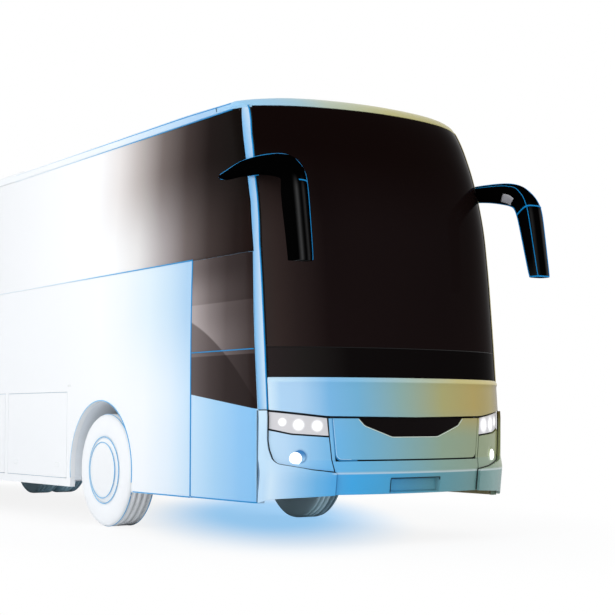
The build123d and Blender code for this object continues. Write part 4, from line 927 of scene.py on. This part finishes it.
# The heads carry painted highlights: grey streaks on a black with no gloss.
highlight_levels = (
    (-1.295, 3), (-1.268, 62), (-1.245, 10), (-1.222, 4), (-1.205, 46), (-1.188, 4), (1.16, 4), (1.18, 36),
    (1.21, 4), (1.27, 4), (1.30, 66), (1.33, 4),
)
painted_light = ramp_along(tree, "Y", -1.4, 1.4, *[(y, level, level, level) for y, level in highlight_levels])
laid_on(mirror_black, mixed(tree, share_along(tree, "Z", 2.80, 2.95), painted_light, srgb(2, 2, 2)))
over = [
    (-0.700, 3.088), (-0.60, 3.110), (-0.353, 3.166), (-0.104, 3.170), (0.160, 3.153), (0.345, 3.112),
    (0.455, 3.005), (0.497, 2.890), (0.522, 2.750), (0.560, 2.500), (0.590, 2.300), (0.594, 2.254),
]
under = [
    (-0.700, 3.060), (-0.60, 3.034), (-0.368, 3.030), (-0.15, 3.024), (0.06, 2.985), (0.20, 2.950),
    (0.312, 2.905), (0.352, 2.800), (0.378, 2.680), (0.425, 2.470), (0.462, 2.300), (0.470, 2.256),
]
depth = [0.010, 0.030, 0.045, 0.050, 0.052, 0.066, 0.090, 0.100, 0.102, 0.098, 0.096, 0.094]
ring_count = 88
step = np.linspace(0, len(over) - 1, ring_count)
over_x, over_z, under_x, under_z, deep = (
    smoothed(np.interp(step, np.arange(len(over)), values), 6) for values in (*zip(*over), *zip(*under), depth)
)
turn = np.linspace(0, 2 * pi, 41)[None, :]
square = np.interp(step, [0, 4, 7, 11], [0.85, 0.85, 0.55, 0.55])[:, None]
bulge = np.sign(np.cos(turn)) * np.abs(np.cos(turn)) ** square
flat = np.sign(np.sin(turn)) * np.abs(np.sin(turn)) ** square
arm_sag, head_slimming = 0.028, 0.80
for hand, side in sides:
    centre_y = hand * np.interp(step, [0, 4, 6, 7, 11], [1.247, 1.215, 1.220, 1.236, 1.250])[:, None]
    x = corner_x + ((over_x + under_x) / 2)[:, None] + ((over_x - under_x) / 2)[:, None] * bulge
    z = ((over_z + under_z) / 2)[:, None] + ((over_z - under_z) / 2)[:, None] * bulge
    y = centre_y + deep[:, None] * flat * hand
    if side == "left":
        z = z - arm_sag * np.interp(step, [1, 3, 5.5, 7.5], [0, 1, 1, 0])[:, None]
        y = centre_y + (deep * np.interp(step, [7, 11], [1, head_slimming]))[:, None] * flat
    rings = np.stack([x, y, z], -1)
    ends = [np.repeat(rings[i].mean(0)[None, None], turn.shape[1], 1) for i in (0, -1)]
    loft = np.concatenate([ends[0], rings, ends[1]])
    piece = plate(f"mirror_{side}", [loft[:, ::-hand]], mirror_black, 0, 0)
    if side == "right":
        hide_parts("mirrors")
    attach(piece, "root")
    spine = rings[:, :-1].mean(1)
    brow = np.cross(np.gradient(spine, axis=0), spine - np.array(camera.location))
    reach = np.einsum("nkc,nc->nk", rings - spine[:, None], brow)
    under_line, over_line = (
        smoothed(rings[np.arange(ring_count), ridge], 12)[1:-1] for ridge in (reach.argmin(1), reach.argmax(1))
    )
    if side == "right":
        tip = rings[0].mean(0)[None] - [[0.016, 0, 0]]
        lines = {"edge": np.concatenate([under_line[:24][::-1], tip, over_line]), "collar": rings[55, 20:41]}
        radii = {"edge": 0.005, "collar": 0.005}
    else:
        lines = {"edge": np.concatenate([under_line[::-1], over_line]), "inner": rings[14:-1, 35]}
        lines["collar"], lines["foot"] = rings[55], rings[-2]
        radii = {"edge": 0.0065, "inner": 0.003, "collar": 0.0065, "foot": 0.0065}
    for name, points in lines.items():
        middle = points.mean(0) if name in ("collar", "foot") else points
        piece = tube(f"mirror_{name}_{side}", points + (points - middle) * 0.01, radii[name], line_blue)
        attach(piece, "root")

# A small pale lens on the inner side of the left arm, which is the last one made.
lens = finish("arm_lens", srgb(168, 168, 174), 0.25, ior=1.4, grain=120.0)
patch = rings[35:45, 25:31]
outward = patch - spine[35:45, None]
patch = patch + outward / np.linalg.norm(outward, axis=-1, keepdims=True) * 0.003
piece = plate("arm_lens", [patch[:, ::-1]], lens, 0.002, 0)
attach(piece, "root")

# ---------------------------------------------------------------- pinstripes
# Thin blue lines along the sill, the door's rear edge, the skirt and the front arches.
sill_z, skirt_line_z, door_foot_z = 2.402, 0.362, 0.366
arch_x, arch_z, arch_r = 2.732, 0.538, 0.665
stripes = {}
x = np.linspace(-5.9, door_rear, 200)
arch = np.linspace(radians(-8), radians(188), 80)
round_x, round_z = arch_x + arch_r * np.cos(arch), arch_z + arch_r * np.sin(arch)
for hand, side in sides:
    stripes[f"sill_line_{side}"] = body(hand * flank_at(x, sill_z), sill_z, 0.003)
    stripes[f"front_arch_line_{side}"] = body(hand * flank_at(round_x, round_z), round_z, 0.001)
z = np.linspace(0.37, sill_z, 80)
stripes["door_rear_line"] = body(-flank_at(door_rear + 0.001, z), z, 0.001)
stripes["skirt_line"] = body(-flank_at(np.linspace(3.42, 4.48, 40), skirt_line_z), skirt_line_z)
stripes["door_foot_line"] = body(-flank_at(np.linspace(4.50, corner_x - 0.06, 40), door_foot_z), door_foot_z)
for name, points in stripes.items():
    piece = tube(name, points, 0.007 if name == "door_rear_line" else 0.0052, line_blue)
    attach(piece, "front_door" if name == "door_foot_line" else "root")

# ---------------------------------------------------------------- body sides, doors and luggage flaps
# Bonded and painted aluminium sheets on the side frames. Each luggage flap has two flush paddle latches low
# down and a pale rubber seal round it; the middle door has a black grab handle.
luggage_flaps = ("luggage_flap_left_1", "luggage_flap_left_2", "luggage_flap_right_1", "luggage_flap_right_2")
repaint(paint, "side_wall_left", "side_wall_right", "front_door", "middle_door", *luggage_flaps)
latch_chrome = finish("latch_chrome", srgb(176, 182, 188), 0.25, metallic=0.8, grain=200.0)


def block(name, low, high, material, edge=0.003):
    """Box between two corners with rounded edges."""
    low, high = np.minimum(low, high), np.maximum(low, high)
    corner = np.array([[i & 1, i >> 1 & 1, i >> 2] for i in range(8)])
    faces = np.array([(0, 4, 6, 2), (1, 3, 7, 5), (0, 1, 5, 4), (2, 6, 7, 3), (0, 2, 3, 1), (4, 5, 7, 6)])
    made = shaped(name, low + corner * (high - low), faces, material)
    rim = made.modifiers.new("rounded edges", "BEVEL")
    rim.width = edge
    rim.segments = 3
    rim.harden_normals = True
    return made


seal_pale = finish("flap_seal", srgb(206, 222, 234), 0.6, ior=1.3, grain=300.0)
skin_y, seal_y = 1.270, 1.266
for node in luggage_flaps:
    low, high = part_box(node)
    hand = 1 if low.y > 0 else -1
    for i, x in enumerate((low.x + 0.22, high.x - 0.22)):
        ends = (x - 0.05, hand * skin_y, 0.545), (x + 0.05, hand * 1.2785, 0.585)
        latch = block(f"{node}_latch_{i + 1}", *ends, paint)
        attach(latch, node)
    rim = np.array([(low.x, high.z), (high.x, high.z), (high.x, low.z), (low.x, low.z), (low.x, high.z)])
    loop = np.concatenate([*(np.linspace(a, b, 12)[:-1] for a, b in zip(rim[:-1], rim[1:])), rim[-1:]])
    loop = loop + (loop - [(low.x + high.x) / 2, (low.z + high.z) / 2]) * [0.0045, 0.006]
    loop = np.stack([loop[:, 0], np.full(len(loop), hand * seal_y), loop[:, 1]], -1)
    piece = tube(f"{node}_seal", loop, 0.0035, seal_pale)
    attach(piece, "root")
middle_low, middle_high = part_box("middle_door")
repaint(side_glass, "middle_door_glass")
x = middle_high.x - 0.05
grab = block("middle_door_grab", (x - 0.018, -skin_y, 1.02), (x + 0.018, -1.2785, 1.16), trim_black)
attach(grab, "middle_door")
marker_glass = finish("marker_glass", srgb(238, 240, 240), 0.2, ior=1.4, grain=200.0)
for name, x in (("side_marker_front", 2.02), ("side_marker_middle", -0.27), ("side_marker_rear", -4.2)):
    for hand, side in sides:
        ends = (x - 0.03, hand * skin_y, 1.345), (x + 0.03, hand * 1.279, 1.365)
        lamp = block(f"{name}_{side}", *ends, marker_glass)
        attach(lamp, "root")

# ---------------------------------------------------------------- roof
# Moulded glass-fibre roof with its front cap, two tilting hatches and a low air-conditioning fairing. The
# front cap's edge shows as a pale strip over the glass, lined in blue above and below.
repaint(roof_paint, "roof_hatch_front", "roof_hatch_rear", "roof_air_unit")
rim_z, roof_top, crown_drop, skirt_foot = 3.659, 3.782, 0.037, 3.642
rim_half = float(plan(rim_z)[0])


def roof_skin(y, x, front, rear):
    """Height of the roof: the lower of a shallow crown rounded down at the sides over 35 mm and a curve that
    climbs from both ends over half a metre, with the crease between them smoothed over 12 mm of height."""
    crown = roof_top - (crown_drop + 0.014 * np.clip((x - 4.2) / 0.8, 0, 1)) * y**2
    from_side = np.clip((rim_half - np.abs(y)) / 0.035, 0, 1)
    side = rim_z + (crown - rim_z) * np.sqrt(1 - (1 - from_side) ** 2)
    climb = np.clip(np.minimum(front - x, x - rear) / 0.46, 0, 1)
    end = rim_z + 0.121 * (1 - (1 - climb**0.75) ** 3)
    blend = np.clip(0.5 + (end - side) / 0.024, 0, 1)
    return end + (side - end) * blend - 0.012 * blend * (1 - blend)


hatch_y, rear_round = 0.31, 0.18
hatches = [(2.182, 1.482), (-2.618, -3.318)]
y = rim_half * np.sin(np.linspace(-pi / 2, pi / 2, 97))
y = y[np.abs(np.abs(y) - hatch_y) > 0.012]
y = np.sort(np.concatenate([y, [-hatch_y, hatch_y]]))[:, None]
front = body(along(y, rim_z), rim_z)[..., 0]
past = np.clip(np.abs(y) - rim_half + rear_round, 0, rear_round)
rear = rear_x + 0.112 + rear_round - np.sqrt(rear_round**2 - past**2)
near = np.array([0, 0.004, 0.012, 0.026, 0.045, 0.075, 0.11, 0.16, 0.22, 0.30, 0.38, 0.46])
slabs = [
    (np.concatenate([front - near, np.linspace(4.3, hatches[0][0], 8) + 0 * y], 1), False),
    (np.linspace(*hatches[0], 4) + 0 * y, True),
    (np.linspace(hatches[0][1], hatches[1][0], 14) + 0 * y, False),
    (np.linspace(*hatches[1], 4) + 0 * y, True),
    (np.concatenate([np.linspace(hatches[1][1], -5.3, 8) + 0 * y, rear + near[::-1]], 1), False),
]
skins = []
for x, open_middle in slabs:
    skin = np.stack([x, y + 0 * x, roof_skin(y, x, front, rear)], -1)
    skirt = skin[[0, -1]] * [1, 1, 0] + [0, 0, skirt_foot]
    skin = np.concatenate([skirt[:1], skin, skirt[1:]])[:, ::-1]
    first, last = (np.abs(y[:, 0] - edge).argmin() for edge in (-hatch_y, hatch_y))
    parts = [skin[: first + 2], skin[last + 1 :]] if open_middle else [skin]
    skins += [part.transpose(1, 0, 2) for part in parts]
piece = plate("roof_skin", skins, roof_paint, 0.018, 0.004)
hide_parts("roof_panel")
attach(piece, "root")
low_line_z, fillet_z = 3.634, 3.649
for hand, side in sides:
    x = np.linspace(0.4, 5.05, 90)
    high_line = body(hand * np.linspace(flank_at(0.4, rim_z), flank_at(5.0, rim_z), 200), rim_z, -0.010)
    x_high, y_high = high_line[:, 0], high_line[:, 1]
    high_line[:, 2] = roof_skin(y_high, x_high, body(along(y_high, rim_z), rim_z)[:, 0], rear_x) + 0.001
    fillet = hand * np.linspace(flank_at(4.5, fillet_z), along(1.10, fillet_z), 60)
    for name, points, radius, material in (
        ("low", body(hand * flank_at(x, low_line_z), low_line_z, 0.003), 0.0045, line_blue),
        ("high", high_line, 0.0045, line_blue),
        ("fillet", body(fillet, fillet_z, -0.004), 0.010, roof_paint),
    ):
        piece = tube(f"roof_line_{name}_{side}", points, radius, material)
        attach(piece, "root")
x = 4.79 - 0.02 * np.linspace(0, 1, 12)
z = np.linspace(3.650, 3.695, 12)
piece = tube("roof_cap_joint", np.stack([x, -plan(z)[0] - 0.001, z], -1), 0.003, sealant)
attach(piece, "root")
for node in ("roof_hatch_front", "roof_hatch_rear"):
    low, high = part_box(node)
    for i, y in enumerate((-0.2, 0.2)):
        ends = (low.x + 0.09, y - 0.02, high.z - 0.004), (high.x - 0.09, y + 0.02, high.z + 0.006)
        rib = block(f"{node}_rib_{i + 1}", *ends, roof_paint, 0.004)
        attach(rib, node)
low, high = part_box("roof_air_unit")
fan_r, top_z = 0.17, high.z
ring = np.linspace(0, 2 * pi, 49)
spot_r, turn = np.linspace(0, 1, 6)[:, None], np.linspace(0, 2 * pi, 33)[None, :]
for i, x in enumerate(np.linspace(low.x + 0.42, high.x - 0.42, 4)):
    for j, y in enumerate((-0.36, 0.36)):
        rim = np.stack([x + fan_r * np.cos(ring), y + fan_r * np.sin(ring), 0 * ring + top_z], -1)
        guard = tube(f"roof_fan_ring_{i + 1}_{j + 1}", rim, 0.008, trim_black)
        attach(guard, "root")
        disc_x, disc_y = x + fan_r * spot_r * np.cos(turn), y + fan_r * spot_r * np.sin(turn)
        disc = np.stack([disc_x, disc_y, np.full_like(disc_x, top_z + 0.002)], -1)
        fan = plate(f"roof_fan_{i + 1}_{j + 1}", [disc], trim_black, 0.004, 0)
        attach(fan, "root")

# ---------------------------------------------------------------- rear end
# Steel-framed rear wall with a bonded dark rear window, a lift-up engine lid with two banks of black
# louvres, four round lamps a side in a black panel, and a blank plate on the bumper.
repaint(paint, "rear_wall", "rear_bumper", "engine_lid")
repaint(gloss_black, "tail_lights")
lens_glass = dict(ior=1.4, coat=0.3, grain=200.0, bump=0.02)
lamp_red = finish("lamp_red", srgb(150, 22, 24), 0.15, **lens_glass)
lamp_amber = finish("lamp_amber", srgb(226, 132, 40), 0.15, **lens_glass)
lamp_white = finish("lamp_white", srgb(222, 226, 230), 0.15, **lens_glass)
lamp_ring = finish("lamp_ring", srgb(176, 180, 184), 0.3, metallic=0.3, grain=200.0)
rear_glass = finish("rear_glass", srgb(20, 17, 17), 0.07, **polished)
wall_z = [0, 1.37, 1.90, 2.40, 2.75, 3.05, 3.35, 3.64]
wall_lean = [0, 0, 0.005, 0.015, 0.030, 0.050, 0.075, 0.110]


def rear_patch(name, y0, y1, z0, z1, out, material, thickness, edge=0.003):
    """Panel on the flat of the rear wall, out metres off it; the wall leans forward a little with height."""
    y, z = np.meshgrid(np.linspace(y1, y0, 13), np.linspace(z0, z1, 15), indexing="ij")
    lean = np.interp(z, wall_z, wall_lean)
    return plate(name, [np.stack([rear_x + lean - out, y, z], -1)], material, thickness, edge)


piece = rear_patch("rear_window_pane", -1.03, 1.03, 2.38, 3.48, 0.004, rear_glass, 0.006)
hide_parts("rear_window")
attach(piece, "root")
lamp_y = 1.09
rear_lamps = [
    (1.60, 0.070, lamp_red), (1.42, 0.070, lamp_amber), (1.24, 0.070, lamp_red), (1.115, 0.045, lamp_white),
]
ring, turn = np.linspace(0, 1, 9)[:, None], np.linspace(0, 2 * pi, 33)[None, :]
for hand, side in sides:
    for i, (z, r, material) in enumerate(rear_lamps):
        cap_x = rear_x - 0.002 - 0.018 * (1 - ring**2) + 0 * turn
        cap = np.stack([cap_x, hand * lamp_y - r * ring * np.cos(turn), z + r * ring * np.sin(turn)], -1)
        back = cap[::-1] * [0, 1, 1] + [rear_x + 0.004, 0, 0]
        lamp = plate(f"tail_lamp_{side}_{i + 1}", [np.concatenate([cap, back])], material, 0, 0)
        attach(lamp, "root")
        rim = [0 * turn[0] + rear_x - 0.003, hand * lamp_y + r * np.cos(turn[0]), z + r * np.sin(turn[0])]
        rim = tube(f"tail_lamp_ring_{side}_{i + 1}", np.stack(rim, -1), 0.005, lamp_ring)
        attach(rim, "root")
drop = np.array([0.0, 0.004, 0.012, 0.004, 0.0])[None, :]
rise = np.array([0.030, 0.026, 0.0, -0.002, 0.0])[None, :]
for bank, (y0, y1) in (("right", (-0.82, -0.12)), ("left", (0.12, 0.82))):
    grille = rear_patch(f"louvre_back_{bank}", y0, y1, 1.08, 1.62, 0.002, trim_black, 0.006)
    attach(grille, "engine_lid")
    y = np.linspace(y1 - 0.015, y0 + 0.015, 3)[:, None]
    fin_z = np.linspace(1.105, 1.575, 11)
    fins = [np.stack(np.broadcast_arrays(rear_x - 0.002 - drop, y, z + rise), -1) for z in fin_z]
    slats = plate(f"louvre_slats_{bank}", fins, trim_black, 0.003, 0)
    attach(slats, "engine_lid")
handle = block("engine_lid_handle", (rear_x - 0.012, -0.11, 0.845), (rear_x, 0.11, 0.880), trim_black)
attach(handle, "engine_lid")
plate_white = finish("plate_white", srgb(238, 240, 240), 0.4, grain=100.0)
for name, low, high, material in (
    ("rear_plate", (rear_x - 0.008, -0.26, 0.475), (rear_x - 0.001, 0.26, 0.585), plate_white),
    ("front_plate", (tray_x + 0.001, -0.235, 0.448), (tray_x + 0.004, 0.235, 0.540), paint),
):
    made = block(name, low, high, material, 0.002)
    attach(made, "root")
rear_lip = rear_patch("rear_bumper_lip", -1.06, 1.06, 0.640, 0.655, 0.004, trim_black, 0.006, 0.002)
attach(rear_lip, "root")
brake = rear_patch("high_brake_lamp", -0.25, 0.25, 3.515, 3.545, 0.008, lamp_red, 0.010, 0.003)
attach(brake, "root")

# ---------------------------------------------------------------- tyres
# Coach tyres with four grooves round the tread, one at each front corner and two side by side behind. The
# rubber is painted light: near white on the right, pale blue towards the middle on the left and blue grey on
# the left outer faces. Blue lines ring those on the right.
rubber = finish("tyre_rubber", srgb(46, 50, 54), 0.75, ior=1.35, grain=90.0, bump=0.35, depth=0.003)
tree = rubber.node_tree
# Painted light on the rubber: near white on the right, lifted blues on the left.
painted_lift = mixed(tree, share_along(tree, "Y", -0.2, 0.2), srgb(248, 250, 252), srgb(200, 235, 250))
laid_on(rubber, mixed(tree, share_along(tree, "Y", 1.06, 1.15), painted_lift, srgb(120, 150, 166)))
shoulder = [
    (-0.118, 0.292), (-0.134, 0.300), (-0.150, 0.345), (-0.1545, 0.400), (-0.153, 0.450), (-0.146, 0.490),
    (-0.136, 0.516), (-0.120, 0.530),
]
tread_r, groove_r = 0.5345, 0.522
profile = list(shoulder)
for middle in (-0.090, -0.030, 0.030, 0.090):
    profile += [(middle - 0.009, tread_r), (middle - 0.006, groove_r)]
    profile += [(middle + 0.006, groove_r), (middle + 0.009, tread_r)]
profile += [(-w, r) for w, r in shoulder[::-1]] + [(0.100, 0.287), (-0.100, 0.287), shoulder[0]]
profile = np.array(profile)
front_x, rear_axle_x = (sum(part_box(n)[i].x for i in (0, 1)) / 2 for n in ("front_axle", "rear_axle"))
axle_z, wheel_y, twin = 0.538, 1.085, 0.345


def revolved(x, y, r, turn):
    """Surface of revolution about the axle line at x: places y along the axle at radii r, through the turns."""
    return np.stack(np.broadcast_arrays(x + r * np.cos(turn), y, axle_z + r * np.sin(turn)), -1)


turn = np.linspace(0, 2 * pi, 97)[None, :]
for hand, side in sides:
    for node, x, y_list, body_name in (
        (f"front_tyre_{side}", front_x, [hand * wheel_y], f"front_wheel_{side}"),
        (f"rear_tyres_{side}", rear_axle_x, [hand * wheel_y, hand * (wheel_y - twin)], f"rear_wheels_{side}"),
    ):
        tyres = [revolved(x, y - profile[:, :1], profile[:, 1:], turn) for y in y_list]
        piece = plate(f"{node}_rubber", tyres, rubber, 0, 0)
        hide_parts(node)
        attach(piece, body_name)
        if side == "right":
            for i, (r, out) in enumerate(((0.533, 0.105), (0.533, -0.118), (0.317, 0.150), (0.266, 0.166))):
                line = tube(f"{node}_line_{i + 1}", revolved(x, -wheel_y - out, r, turn[0]), 0.004, line_blue)
                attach(line, body_name)

# ---------------------------------------------------------------- wheels
# Pressed steel disc wheels, silver lacquered, each held by ten nuts round the hub.
wheel_silver = finish("wheel_silver", srgb(190, 196, 202), 0.35, metallic=0.35, grain=150.0, bump=0.1)
tree = wheel_silver.node_tree
# The wheels on the right are painted near white, painted light as on the tyres.
laid_on(wheel_silver, mixed(tree, share_along(tree, "Y", -0.2, 0.2), srgb(248, 250, 252), srgb(176, 182, 188)))
nut_circle, nut_count = 0.163, 10
nut_r = np.array([0.0, 0.012, 0.015, 0.016, 0.016, 0.0])[:, None]
nut_up = np.array([0.026, 0.026, 0.022, 0.016, 0.0, 0.0])[:, None]
turn = np.linspace(0, 2 * pi, 7)[None, :]
for hand, side in sides:
    for node, x, face in (
        (f"front_wheel_{side}", front_x, wheel_y + 0.137),
        (f"rear_wheels_{side}", rear_axle_x, wheel_y - twin / 2 + 0.014),
    ):
        repaint(wheel_silver, node)
        nuts = []
        for a in 2 * pi * (np.arange(nut_count) + 0.5) / nut_count:
            nut_x, nut_z = x + nut_circle * cos(a), nut_circle * sin(a)
            nut = revolved(nut_x, hand * (face + nut_up), nut_r, turn) + [0, 0, nut_z]
            nuts.append(nut[:, ::-hand])
        piece = plate(f"{node}_nuts", nuts, latch_chrome, 0, 0)
        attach(piece, node)

# Wheel trims on the front wheels: a smooth domed disc that clips over the nuts.
trim_r = np.array([0, 0.06, 0.14, 0.20, 0.245, 0.262, 0.272, 0.292, 0.308, 0.314, 0.300, 0.0])[:, None]
trim_out = [0.175, 0.1748, 0.174, 0.172, 0.168, 0.164, 0.155, 0.150, 0.146, 0.138, 0.134, 0.134]
trim_out = np.array(trim_out)[:, None]
turn = np.linspace(0, 2 * pi, 97)[None, :]
for hand, side in sides:
    trim = revolved(front_x, hand * (wheel_y + trim_out), trim_r, turn)
    piece = plate(f"wheel_trim_{side}", [trim[:, ::hand]], wheel_silver, 0, 0)
    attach(piece, f"front_wheel_{side}")

# ---------------------------------------------------------------- underframe
# Welded and painted steel frames and axles, grey liners in the wheelhouses and the luggage hold, painted
# lighter on the right towards the front as painted light in their shade, and bare castings for the engine and
# the door arms.
repaint(steel_paint, "front_frame", "chassis_frame", "front_axle", "rear_axle", "knuckle_left", "knuckle_right")
liner = finish("liner_grey", srgb(60, 62, 66), 0.7, ior=1.3, grain=90.0)
tree = liner.node_tree
# Painted light in the shade under the arches: the liners on the right run to near white at the front.
painted_lift = mixed(tree, share_along(tree, "X", -2.0, 1.0), srgb(110, 114, 118), srgb(240, 245, 250))
laid_on(liner, mixed(tree, share_along(tree, "Y", -0.5, -0.3), painted_lift, srgb(60, 62, 66)))
repaint(liner, "wheelhouses", "luggage_hold")
cast_grey = finish("cast_grey", srgb(118, 122, 126), 0.5, metallic=0.6, grain=90.0, bump=0.25, depth=0.002)
repaint(cast_grey, "engine", "front_door_arm", "middle_door_arm")

# ---------------------------------------------------------------- cabin
# Rubber mat on the deck and the entrance steps, a moulded dashboard, and cloth seats with crowned cushions,
# reclined backs and headrests on steel pedestals.
deck_mat = finish("floor_mat", srgb(74, 78, 84), 0.85, grain=500.0, bump=0.4, depth=0.002)
repaint(deck_mat, "floor_deck", "entrance_steps")
repaint(trim_black, "dashboard", "steering_wheel")
cloth = finish("seat_cloth", srgb(58, 72, 112), 0.95, ior=1.3, grain=700.0, bump=0.5, depth=0.002)


def squared(v):
    """Signed power that squares off a circle."""
    return np.sign(v) * np.abs(v) ** 0.35


def cushion(place, size, lean, crown):
    """Rounded block: a superellipsoid of the given size leaned back about the Y axis, its top crowned."""
    up = np.linspace(-pi / 2, pi / 2, 15)[:, None]
    turn = np.linspace(-pi, pi, 29)[None, :]
    x = squared(np.cos(up)) * squared(np.cos(turn))
    y = squared(np.cos(up)) * squared(np.sin(turn))
    z = squared(np.sin(up)) + 0 * turn
    shape = np.stack([x, y, z], -1) * np.array(size) / 2
    shape[..., 2] += crown * (1 - y**2) * (1 - x**2)
    tip = np.array([[cos(lean), 0, -sin(lean)], [0, 1, 0], [sin(lean), 0, cos(lean)]])
    return (shape @ tip)[:, ::-1] + place


def seat(x, y, floor, width):
    """Cushion, back and headrest grids of one seat facing forward, its back's foot at x."""
    return [
        cushion((x + 0.20, y, floor + 0.39), (0.46, width, 0.12), 0, 0.012),
        cushion((x - 0.045, y, floor + 0.76), (0.12, width, 0.72), radians(-10), 0),
        cushion((x - 0.095, y, floor + 1.045), (0.10, width * 0.62, 0.15), radians(-10), 0),
    ]


deck_z, cockpit_z, first_x, pitch = 1.5, 0.94, 2.532, 0.8
well_x = (middle_low.x - 0.60, middle_high.x + 0.20)
rows = [(row + 1, first_x - pitch * row) for row in range(11)]


def seated(places):
    """Row number, x and y of each seat place, on the right only where the middle door's well leaves room."""
    return [(row, x, y) for row, x in rows for y in places if y > 0 or not well_x[0] < x < well_x[1]]


grids = [grid for row, x, y in seated((0.475, 0.925, -0.475, -0.925)) for grid in seat(x, y, deck_z, 0.43)]
seats = plate("passenger_seat_cushions", grids, cloth, 0, 0)
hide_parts("passenger_seats")
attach(seats, "root")
driver = plate("driver_seat_cushions", seat(4.285, 0.64, cockpit_z, 0.48), cloth, 0, 0)
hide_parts("driver_seat")
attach(driver, "root")
pedestals = [block("driver_seat_base", (4.30, 0.45, cockpit_z), (4.66, 0.83, 1.27), trim_black, 0.02)]
for row, x, y in seated((0.70, -0.70)):
    ends = (x + 0.14, y - 0.03, deck_z), (x + 0.26, y + 0.03, 1.84)
    pedestals.append(block(f"seat_leg_{row}_{'left' if y > 0 else 'right'}", *ends, trim_black, 0.005))
for made in pedestals:
    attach(made, "root")
